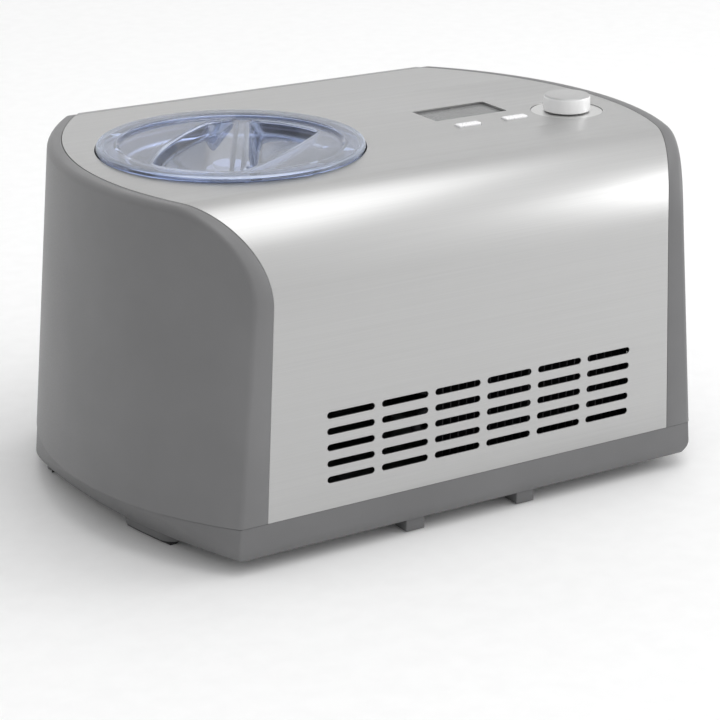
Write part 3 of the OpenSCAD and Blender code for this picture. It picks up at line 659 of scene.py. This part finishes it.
def wrap_cutters():
    """The vents, the openings in the top and the two rear corners."""
    out = [
        vent_cutter(),
        prism("bowl_hole", circle(BOWL.x, BOWL.y, OPENING_R, 192), CUT_LOW, CUT_HIGH),
        prism("dial_hole", circle(KNOB.x, KNOB.y, DIAL_R + DIAL_GAP, 96), CUT_LOW, CUT_HIGH),
        box_cutter("display_hole", window_lo, window_hi, -WINDOW_LAP, 1.5 * MM),
    ]
    for button in ("left_button", "right_button"):
        low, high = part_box(button)
        out.append(box_cutter(button + "_hole", low, high, BUTTON_GAP, 1.2 * MM))
    out += [rear_corner("corner_cut", s, 0, CUT_LOW, CUT_HIGH) for s in (-1, 1)]
    return out


wrap = sheet_solid()
cut(wrap, wrap_cutters(), 20.0)
bevel(wrap, 0.22 * MM, 2, 40.0, 22.0)
show(wrap, "root", mats, "wrap_steel", "steel_wrap")

# ---- rear panel with the infill beside the steel's rounded rear corners ----

INFILL_H = 4 * MM
INFILL_WIDEN = 0.1 * MM


def rear_panel_mesh():
    copy = bpy.data.objects.new("panel_copy", nodes["rear_panel"].data.copy())
    bpy.context.scene.collection.objects.link(copy)
    infill = [rear_corner("corner_infill", s, INFILL_WIDEN, TOP_Z - INFILL_H, TOP_Z) for s in (-1, 1)]
    return join("rear_panel_with_corners", [copy] + infill, 30.0)


show(rear_panel_mesh(), "root", mats, "rim_plastic", "rear_panel")

# ---- side covers ----

EDGE_R = 5.0 * MM
REAR_R = 13.0 * MM
REAR_TOP_R = 3.0 * MM
COVER_FRONT_STEPS = 12
REAR_TOP_STEPS = 8
REAR_STEPS = 16


def cover_stations():
    """(y, z, inward y, inward z, edge radius) round the outline, front bottom to back bottom."""
    out = []
    for k in range(COVER_FRONT_STEPS):
        z = SEAM_Z + (BEND_C[1] - SEAM_Z) * k / COVER_FRONT_STEPS
        out.append((FRONT_Y, z, 1.0, 0.0, EDGE_R))
    for k in range(BEND_STEPS + 1):
        a = math.pi - math.pi / 2 * k / BEND_STEPS
        out.append((BEND_C[0] + BEND_R * math.cos(a), BEND_C[1] + BEND_R * math.sin(a),
                    -math.cos(a), -math.sin(a), EDGE_R))
    end_y = BACK_Y - REAR_TOP_R
    for k in range(1, TOP_STEPS + 1):
        out.append((BEND_C[0] + (end_y - BEND_C[0]) * k / TOP_STEPS, TOP_Z, 0.0, -1.0, EDGE_R))
    for k in range(1, REAR_TOP_STEPS + 1):
        a = math.pi / 2 - math.pi / 2 * k / REAR_TOP_STEPS
        r = EDGE_R + (REAR_R - EDGE_R) * k / REAR_TOP_STEPS
        out.append((end_y + REAR_TOP_R * math.cos(a), TOP_Z - REAR_TOP_R + REAR_TOP_R * math.sin(a),
                    -math.cos(a), -math.sin(a), r))
    for k in range(1, REAR_STEPS + 1):
        z = TOP_Z - REAR_TOP_R + (SEAM_Z - TOP_Z + REAR_TOP_R) * k / REAR_STEPS
        out.append((BACK_Y, z, -1.0, 0.0, REAR_R))
    return out


# (distance out from the seam, depth behind the outline) of the cover's return along the seam.
SEAM_RETURN = ((0.0, WALL), (0.0, 0.5 * MM), (0.15 * MM, 0.15 * MM), (0.5 * MM, 0.0))
HUB_Y = 5 * MM
HUB_Z = SEAM_Z
HUB_RINGS = 22


def cover_row(y, z, ny, nz, r):
    """Points of one cover section: the return, the rounded edge, then the side as far as its hub."""
    seam_x = side_x(y, z, STEEL_HALF + SEAM_GAP, SEAM_LEAN)
    edge_x = side_x(y, z, COVER_HALF, COVER_LEAN)
    r = min(r, 0.8 * (edge_x - seam_x))
    d = r
    for _ in range(3):
        deep_x = side_x(y + ny * d, max(z + nz * d, SEAM_Z), COVER_HALF, COVER_LEAN)
        arc, arc_depth = corner_arc(edge_x, (deep_x - edge_x) / d, r, 8)
        d = max(arc_depth, 0.2 * MM)
    edge = [(seam_x + out, depth) for out, depth in SEAM_RETURN] + arc[:-1]
    row = [(x, y + ny * depth, z + nz * depth) for x, depth in edge]
    qy, qz = y + ny * d, z + nz * d
    row.append((side_x(qy, qz, COVER_HALF, COVER_LEAN), qy, qz))
    for k in range(1, HUB_RINGS + 1):
        py = qy + (HUB_Y - qy) * k / HUB_RINGS
        pz = qz + (HUB_Z - qz) * k / HUB_RINGS
        row.append((side_x(py, pz, COVER_HALF, COVER_LEAN), py, pz))
    return row


def cover_mesh(name, s):
    """The shell of one side cover, on the side that s gives."""
    rows = [cover_row(*station) for station in cover_stations()]
    width = len(rows[0])
    verts = [(s * x, y, max(z, SEAM_Z)) for row in rows for x, y, z in row]
    faces = []
    for i in range(len(rows) - 1):
        for j in range(width - 1):
            a, b = i * width + j, (i + 1) * width + j
            faces.append((a, b, b + 1, a + 1) if s > 0 else (a, a + 1, b + 1, b))
    ob = add_object(name, verts, faces, 34.0)
    outward = sum(p.normal.x * p.area for p in ob.data.polygons)
    if outward * s < 0:
        ob.data.flip_normals()
    return ob


for s, side in ((-1, "left"), (1, "right")):
    ob = cover_mesh(side + "_cover_shell", s)
    show(ob, "root", mats, "cover_plastic", side + "_side_cover")

# ---- base tray with its turned-under skirt and feet ----

# The skirt turns under on a circle in plan, centred at depth UNDER_Y, that widens with height.
FOOT_H = 9 * MM
UNDER_R = 430 * MM
UNDER_Y = 38 * MM
UNDER_HALF = cover_hi.x - 13.7 * MM
UNDER_SLOPE = 0.71
SKIRT_BLEND = 3.0 * MM
SKIRT_INSET = 0.35 * MM
END_INSET = 0.3 * MM
# The skirt's ends draw in by up to TUCK over its lowest TUCK_H.
TUCK = 3.0 * MM
TUCK_H = 8 * MM
TRAY_FRONT_R = 2.5 * MM
TRAY_REAR_R = 13 * MM
SKIRT_STEPS = 40


def skirt_x(y, z, inset):
    """Half width of the skirt: the lesser of the cover's side and the turned-under one, blended."""
    side = side_x(y, z, COVER_HALF, COVER_LEAN)
    r = UNDER_R + (z - FOOT_H) * UNDER_SLOPE
    under = UNDER_HALF - UNDER_R + math.sqrt(r * r - (y - UNDER_Y) ** 2)
    h = max(SKIRT_BLEND - abs(side - under), 0.0) / SKIRT_BLEND
    return min(side, under) - h * h * SKIRT_BLEND / 4 - SKIRT_INSET - inset


def skirt_corner(end_y, r, inward, z, inset):
    """A front or rear corner of the skirt, from its end face, and the depth where the side starts."""
    x0 = skirt_x(end_y, z, inset)
    slope = (skirt_x(end_y + inward * r, z, inset) - x0) / r
    arc, depth = corner_arc(x0, slope, r, 8)
    return [(x, end_y + inward * d) for x, d in arc], end_y + inward * depth


def skirt_loop(z, inset):
    """Plan outline of the skirt at height z, with rounded front and rear corners."""
    tuck = TUCK * max(0.0, 1 - (z - FOOT_H) / TUCK_H) ** 2
    end_inset = END_INSET + inset + tuck
    front, y0 = skirt_corner(FRONT_Y + end_inset, TRAY_FRONT_R, 1.0, z, inset)
    rear, y1 = skirt_corner(BACK_Y - end_inset, TRAY_REAR_R, -1.0, z, inset)
    ys = [y0 + (y1 - y0) * i / SKIRT_STEPS for i in range(1, SKIRT_STEPS)]
    right = front + [(skirt_x(y, z, inset), y) for y in ys] + rear[::-1]
    return right + [(-x, y) for x, y in reversed(right)]


def tray_shell():
    """The tray: up inside the wall, over the rim, down the skirt and round its lower edge."""
    side_top, side_end = TRAY_TOP - 0.6 * MM, FOOT_H + 0.6 * MM
    levels = [(FOOT_H + 3 * MM, WALL + 1 * MM), (TRAY_TOP - 6 * MM, WALL), (TRAY_TOP, WALL)]
    levels.append((TRAY_TOP, 0.0))
    levels += [(side_top - (side_top - side_end) * k / 14, 0.0) for k in range(15)]
    levels += [(FOOT_H + 0.15 * MM, 0.3 * MM), (FOOT_H, 0.9 * MM)]
    loops = [[(x, y, z) for x, y in skirt_loop(z, inset)] for z, inset in levels]
    return strips("tray_shell", loops, (0, len(loops) - 1), 30.0)


FOOT_YS = (-54 * MM, 86 * MM)
FOOT_HALF_LEN = 23 * MM
FOOT_INNER_X = 168 * MM
FOOT_R = 8 * MM
FOOT_DRAW = 0.2 * MM
UNDER_TO_FOOT = 3.2 * MM
COVER_TO_FOOT = 5.7 * MM
PAD_TOP = pads_hi.z + 0.05 * MM
FRONT_FOOT_X = 40.6 * MM
FRONT_FOOT_Y = FRONT_Y + 12.7 * MM
FRONT_FOOT_W = 13.4 * MM


def foot_x(y):
    """Half width over the outer sides of the corner feet at depth y."""
    under = UNDER_HALF - UNDER_TO_FOOT - UNDER_R + math.sqrt(UNDER_R ** 2 - (y - UNDER_Y) ** 2)
    side = cover_hi.x - COVER_TO_FOOT - BOW_R + math.sqrt(BOW_R ** 2 - (y - BOW_Y) ** 2)
    return min(under, side)


def foot_loop(s, fy):
    """Plan outline of one corner foot: its outer side follows the skirt, with rounded corners."""
    y0, y1 = fy - FOOT_HALF_LEN, fy + FOOT_HALF_LEN
    pts = [(FOOT_INNER_X, y0 + FOOT_DRAW)]
    for k in range(33):
        y = y0 + (y1 - y0) * (0.5 - 0.5 * math.cos(math.pi * k / 32))
        end = min(y - y0, y1 - y, FOOT_R)
        inset = FOOT_R - math.sqrt(FOOT_R ** 2 - (FOOT_R - end) ** 2)
        pts.append((foot_x(y) - inset - FOOT_DRAW, y))
    pts.append((FOOT_INNER_X, y1 - FOOT_DRAW))
    return [(s * x, y) for x, y in pts[::s]]


def corner_foot(s, fy):
    foot = prism("corner_foot", foot_loop(s, fy), PAD_TOP, FOOT_H + 1 * MM)
    return bevel(foot, 1.2 * MM, 2)


def front_foot(s):
    foot = block("front_foot", s * FRONT_FOOT_X, FRONT_FOOT_Y, FRONT_FOOT_W, FRONT_FOOT_W,
                 tray_lo.z, FOOT_H + 0.3 * MM, 1 * MM)
    return bevel(foot, 0.4 * MM, 2)


FLOOR_TOP = FOOT_H + 3 * MM
POST_R = 3.4 * MM
POST_TOP = 29 * MM
POST_INSET = 8 * MM
STAND_R = 8 * MM
STAND_TOP = 18 * MM
STAND_X = 72 * MM
STAND_YS = {-1: -58 * MM, 1: 62 * MM}


def post_and_stand(sx, sy):
    """Inside the tray: one post under the compressor and one stand under the support frame."""
    c = (comp_lo + comp_hi) / 2
    x = c.x + sx * ((comp_hi.x - comp_lo.x) / 2 - POST_INSET)
    y = c.y + sy * ((comp_hi.y - comp_lo.y) / 2 - POST_INSET)
    post = prism("post", circle(x, y, POST_R, 24), FLOOR_TOP, POST_TOP)
    under_frame = circle(BOWL.x + sx * STAND_X, BOWL.y + STAND_YS[sy], STAND_R, 32)
    return [post, prism("stand", under_frame, FLOOR_TOP, STAND_TOP)]


tray_pieces = [tray_shell()]
tray_pieces += [corner_foot(sx, fy) for sx in (-1, 1) for fy in FOOT_YS]
tray_pieces += [front_foot(sx) for sx in (-1, 1)]
for sx in (-1, 1):
    for sy in (-1, 1):
        tray_pieces += post_and_stand(sx, sy)
tray = join("tray_with_feet", tray_pieces, 30.0)
show(tray, "root", mats, "base_plastic", "base_tray")

# ---- lid ----

LID_TOP = lid_hi.z
LID_T = 2.0 * MM
LID_UNDER = SHELF_Z + 0.5 * MM
PLATE_R = 67.0 * MM
PLATE_Z = LID_TOP - 2.3 * MM
WELL_R = 63.0 * MM
WELL_FLOOR = lid_lo.z + LID_T
LENS_TURN = math.radians(38)
GRIP_TURN = math.radians(60)
LID_STEPS = 192
WELL_STEPS = 160

# The arcs above and below the lens that holds both wells: (radius, height over its axis, place along it).
ARCS = {1: (230 * MM, 38.5 * MM, 18 * MM), -1: (500 * MM, 38.0 * MM, 30 * MM)}
# Distance from the middle of the lid to the grip's face on each side, at a well's mouth and at its floor.
GRIP_EDGE = {1: (-1.0 * MM, 11.0 * MM), -1: (10.0 * MM, 15.0 * MM)}
# Where the rays that trace a well start: out from the grip, and back along the lens.
TRACE_OUT = 27 * MM
TRACE_BACK = 8 * MM
# How sharply the curves that bound a well run into each other.
WELL_SHARPNESS = 26.0
# (inset, depth under the plate) and (inset, height over the floor) of a well's wall, in millimetres.
WELL_LIP = ((-1.2, 0.0), (-0.7, 0.06), (-0.25, 0.3), (0.1, 0.8), (0.3, 1.4))
WELL_FOOT = ((2.2, 1.8), (2.6, 1.0), (3.3, 0.35), (4.4, 0.0))


def ray_to_circle(o, d, c, r):
    """Distance from o, inside the circle, along d to the circle of radius r about c."""
    f = o - c
    b = f.dot(d)
    q = b * b - f.length_squared + r * r
    return -b + math.sqrt(max(q, 1e-12))


def well_loop(side, inset, fall=0.0):
    """Outline of one finger well: what the grip leaves of two arcs inside a circle.

    fall runs from 0 at the mouth to 1 at the floor.
    """
    n = Vector((-math.sin(GRIP_TURN), math.cos(GRIP_TURN))) * side
    up = Vector((-math.sin(LENS_TURN), math.cos(LENS_TURN)))
    along = Vector((math.cos(LENS_TURN), math.sin(LENS_TURN)))
    o = n * TRACE_OUT - along * (side * TRACE_BACK)
    edge = GRIP_EDGE[side][0] + (GRIP_EDGE[side][1] - GRIP_EDGE[side][0]) * fall
    pts = []
    for k in range(WELL_STEPS):
        a = 2 * math.pi * k / WELL_STEPS
        d = Vector((math.cos(a), math.sin(a)))
        dist = [ray_to_circle(o, d, Vector((0, 0)), WELL_R - inset)]
        for arc_side, (radius, height, centre) in ARCS.items():
            c = up * (height - radius) * arc_side + along * centre
            dist.append(ray_to_circle(o, d, c, radius - inset))
        toward = d.dot(n)
        if toward < -1e-4:
            dist.append((edge + inset - o.dot(n)) / toward)
        nearest = min(dist)
        rho = nearest * sum((nearest / q) ** WELL_SHARPNESS for q in dist) ** (-1 / WELL_SHARPNESS)
        p = o + d * rho
        pts.append((BOWL.x + p.x, BOWL.y + p.y))
    return pts


def plate_with_holes(loops, z):
    """Flat fill between an outer loop and the holes in it."""
    bm = bmesh.new()
    for loop in loops:
        vs = [bm.verts.new((x, y, z)) for x, y in loop]
        for i in range(len(vs)):
            bm.edges.new((vs[i - 1], vs[i]))
    bmesh.ops.triangle_fill(bm, use_beauty=True, edges=bm.edges[:])
    me = bpy.data.meshes.new("fill")
    bm.to_mesh(me)
    bm.free()
    ob = bpy.data.objects.new("fill", me)
    bpy.context.scene.collection.objects.link(ob)
    return ob


def lid_rim():
    """The rounded ring outside the plate, over its top, round its edge and back under it."""
    section = rounded_path([
        (PLATE_R, PLATE_Z, 0), (PLATE_R + 1.2 * MM, PLATE_Z, 1.0 * MM),
        (PLATE_R + 3.4 * MM, LID_TOP, 1.2 * MM), (LID_R - 0.6 * MM, LID_TOP, 1.6 * MM),
        (LID_R, TOP_Z + 0.6 * MM, 0.8 * MM), (LID_R - 1.0 * MM, TOP_Z - 1.2 * MM, 0.8 * MM),
        (LID_R - 1.8 * MM, LID_UNDER, 0.6 * MM), (LID_R - 4.0 * MM, LID_UNDER, 0.6 * MM),
        (LID_R - 4.4 * MM, LID_TOP - LID_T - 0.5 * MM, 1.0 * MM),
        (PLATE_R + 5.0 * MM, LID_TOP - LID_T, 1.0 * MM),
        (PLATE_R + 2.0 * MM, PLATE_Z - LID_T, 1.0 * MM), (PLATE_R, PLATE_Z - LID_T, 0)], 5)
    loops = []
    for r, z in section:
        loops.append([(x, y, z) for x, y in circle(BOWL.x, BOWL.y, r, LID_STEPS)])
    return strips("rim", loops)


def lid_face(wider, drop):
    """One face of the plate and its two wells: wider is added to each inset, drop lowers it all."""
    wall = [(i * MM, PLATE_Z - d * MM) for i, d in WELL_LIP]
    wall += [(i * MM, WELL_FLOOR + h * MM) for i, h in WELL_FOOT]
    depth = PLATE_Z - WELL_FLOOR
    parts, mouths = [], []
    for side in (-1, 1):
        loops = []
        for inset, z in wall:
            fall = min(1.0, (PLATE_Z - z) / depth)
            loops.append([(x, y, z - drop) for x, y in well_loop(side, inset + wider, fall)])
        mouths.append(well_loop(side, wall[0][0] + wider))
        parts.append(strips("well", loops, (len(loops) - 1,)))
    outline = circle(BOWL.x, BOWL.y, PLATE_R, LID_STEPS)
    parts.append(plate_with_holes([outline] + mouths, PLATE_Z - drop))
    return parts


lid_parts = [lid_rim()] + lid_face(0.0, 0.0) + lid_face(-LID_T * 0.9, LID_T)
lid = join("lid_moulding", lid_parts, 40.0)
show(lid, "lid", mats, "lid_clear", "lid")

# ---- bowl, with the tube up its middle and the holes for the handle's pins ----

RIM_R = (bowl_hi.x - bowl_lo.x) / 2
BOWL_WALL_R = RIM_R - 6 * MM
BOWL_SHEET = 1.2 * MM
BOWL_FLOOR = bowl_lo.z + BOWL_SHEET
RIM_LOW = bowl_hi.z - BOWL_SHEET
TUBE_IN_R = 6.4 * MM
TUBE_TOP_R = 8 * MM
TUBE_FOOT_R = 9 * MM
TUBE_TOP = bowl_lo.z + 34 * MM
PIN_HOLE_R = 2.05 * MM
PIN_Z = SHELF_Z - 5 * MM
PIN_REACH = 100 * MM


def bowl_mesh():
    profile = rounded_path([
        (TUBE_IN_R, bowl_lo.z, 0.3 * MM), (BOWL_WALL_R, bowl_lo.z, 8 * MM),
        (BOWL_WALL_R, RIM_LOW, 0.4 * MM), (RIM_R, RIM_LOW, 0.5 * MM), (RIM_R, bowl_hi.z, 0.5 * MM),
        (BOWL_WALL_R - BOWL_SHEET, bowl_hi.z, 1.0 * MM), (BOWL_WALL_R - BOWL_SHEET, BOWL_FLOOR, 7 * MM),
        (TUBE_FOOT_R, BOWL_FLOOR, 0.3 * MM), (TUBE_TOP_R, TUBE_TOP, 0.5 * MM),
        (TUBE_IN_R, TUBE_TOP, 0.3 * MM)], 6)
    bowl = lathe("spun_bowl", profile, BOWL, 160)
    pin_hole = prism("pin_hole", circle(0, 0, PIN_HOLE_R, 24), -PIN_REACH, PIN_REACH)
    pin_hole.data.transform(Matrix.Rotation(math.pi / 2, 4, "Y"))
    pin_hole.data.transform(Matrix.Translation((BOWL.x, BOWL.y, PIN_Z)))
    return cut(bowl, [pin_hole])


show(bowl_mesh(), "bowl", mats, "bowl_metal", "mixing_bowl")

# ---- knob and buttons ----

KNOB_TAPER = 0.4 * MM
BUTTON_HEAD_H = 10.3 * MM
BUTTON_STEM_R = 2 * MM
STEM_TOP_DROP = 10 * MM


def knob_mesh():
    profile = rounded_path([
        (0.0, knob_lo.z, 0), (KNOB_R - 0.6 * MM, knob_lo.z, 0.3 * MM),
        (KNOB_R, knob_lo.z + 0.8 * MM, 0.4 * MM),
        (KNOB_R - KNOB_TAPER, knob_hi.z, 1.7 * MM), (0.0, knob_hi.z, 0)], 8)
    return lathe("knob_cap", profile, KNOB, 128)


def button_mesh(name):
    """A rectangular cap on a round stem."""
    low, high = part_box(name)
    c = (low + high) / 2
    size = high - low
    head = block(name + "_head", c.x, c.y, size.x, size.y, high.z - BUTTON_HEAD_H, high.z, 1.0 * MM)
    bevel(head, 0.7 * MM, 4)
    stem = prism(name + "_stem", circle(c.x, c.y, BUTTON_STEM_R, 24), low.z, high.z - STEM_TOP_DROP)
    return join(name + "_cap", [head, stem])


show(knob_mesh(), "knob", mats, "knob_metal", "knob")
for name in ("left_button", "right_button"):
    show(button_mesh(name), name, mats, "button_plastic", name)

# ---- stage, light and camera ----

SKY_LEFT = 0.05
SKY_RIGHT = 0.6
SKY_FRONT = 0.56
SKY_BACK = 0.28
SKY_TOP = 0.11


def studio_world():
    """A light tent: its strength is a sum of three slopes, one along each axis."""
    world = bpy.data.worlds.new("studio")
    bpy.context.scene.world = world
    world.use_nodes = True
    t = world.node_tree
    split = t.nodes.new("ShaderNodeSeparateXYZ")
    t.links.new(t.nodes.new("ShaderNodeTexCoord").outputs["Generated"], split.inputs["Vector"])
    slopes = (("X", -1.0, SKY_LEFT, SKY_RIGHT), ("Y", -1.0, SKY_FRONT, SKY_BACK), ("Z", 0.0, 0.0, SKY_TOP))
    total = None
    for axis, start, at_start, at_plus in slopes:
        m = t.nodes.new("ShaderNodeMapRange")
        m.interpolation_type = "SMOOTHSTEP"
        m.inputs["From Min"].default_value = start
        m.inputs["From Max"].default_value = 1.0
        m.inputs["To Min"].default_value = at_start
        m.inputs["To Max"].default_value = at_plus
        t.links.new(split.outputs[axis], m.inputs["Value"])
        if total is None:
            total = m.outputs["Result"]
            continue
        add = t.nodes.new("ShaderNodeMath")
        t.links.new(total, add.inputs[0])
        t.links.new(m.outputs["Result"], add.inputs[1])
        total = add.outputs["Value"]
    t.links.new(total, t.nodes["Background"].inputs["Strength"])
    t.nodes["Background"].inputs["Color"].default_value = (1, 1, 1, 1)


def softbox(name, place, target, size, power):
    """A rectangular lamp at place, turned towards target."""
    d = bpy.data.lights.new(name, "AREA")
    d.shape = "RECTANGLE"
    d.size, d.size_y = size
    d.energy = power
    ob = bpy.data.objects.new(name, d)
    bpy.context.scene.collection.objects.link(ob)
    ob.location = place
    ob.rotation_euler = (Vector(target) - Vector(place)).to_track_quat("-Z", "Y").to_euler()
    return ob


LIGHT_TARGET = (0, 0, 0.1)
studio_world()
softbox("overhead_softbox", (0.4, -0.25, 2.2), LIGHT_TARGET, (2.0, 1.3), 11.5)
softbox("right_softbox", (2.2, -1.0, 1.0), LIGHT_TARGET, (1.2, 1.2), 11)

SWEEP_FRONT_Y = -4.0
SWEEP_BEND_Y = 2.2
SWEEP_R = 0.8
SWEEP_TOP_Z = 4.0
SWEEP_HALF_W = 6.0
SWEEP_DROP = 0.0002


def paper_material():
    n = Nodes("floor_paper")
    grain = n.noise(n.coord, 60.0, 3.0)
    n.to(n.ramp(grain, (0.93, 0.93, 0.93), (0.95, 0.95, 0.95)), "Base Color")
    n.set(Roughness=0.8)
    return n.mat


def paper_sweep():
    """White paper on the floor that curves up behind the object."""
    side = [(SWEEP_FRONT_Y, 0.0)]
    for k in range(17):
        a = math.pi / 2 * k / 16
        side.append((SWEEP_BEND_Y + SWEEP_R * math.sin(a), SWEEP_R - SWEEP_R * math.cos(a)))
    side.append((SWEEP_BEND_Y + SWEEP_R, SWEEP_TOP_Z))
    verts, faces = [], []
    for y, z in side:
        verts += [(-SWEEP_HALF_W, y, z - SWEEP_DROP), (SWEEP_HALF_W, y, z - SWEEP_DROP)]
    for k in range(len(side) - 1):
        faces.append((2 * k, 2 * k + 1, 2 * k + 3, 2 * k + 2))
    return add_object("paper_sweep", verts, faces)


floor = paper_sweep()
floor.data.materials.append(paper_material())

CAMERA_PLACE = (-0.7364, -1.2130, 0.5761)
CAMERA_DOWN = 0.3466
CAMERA_TURN = -0.547
CAMERA_LENS = 115.71
CAMERA_SHIFT_X = -0.004
CAMERA_SHIFT_Y = -0.0044


def camera():
    """A long lens, high to the left of the front. Angles are in radians, the lens in millimetres."""
    d = bpy.data.cameras.new("camera")
    ob = bpy.data.objects.new("camera", d)
    bpy.context.scene.collection.objects.link(ob)
    d.sensor_width = 36.0
    d.lens = CAMERA_LENS
    d.shift_x = CAMERA_SHIFT_X
    d.shift_y = CAMERA_SHIFT_Y
    d.clip_start = 0.05
    d.clip_end = 50.0
    ob.location = CAMERA_PLACE
    ob.rotation_euler = (math.pi / 2 - CAMERA_DOWN, 0.0, CAMERA_TURN)
    return ob


bpy.context.scene.camera = camera()
bpy.context.scene.view_settings.view_transform = "Standard"
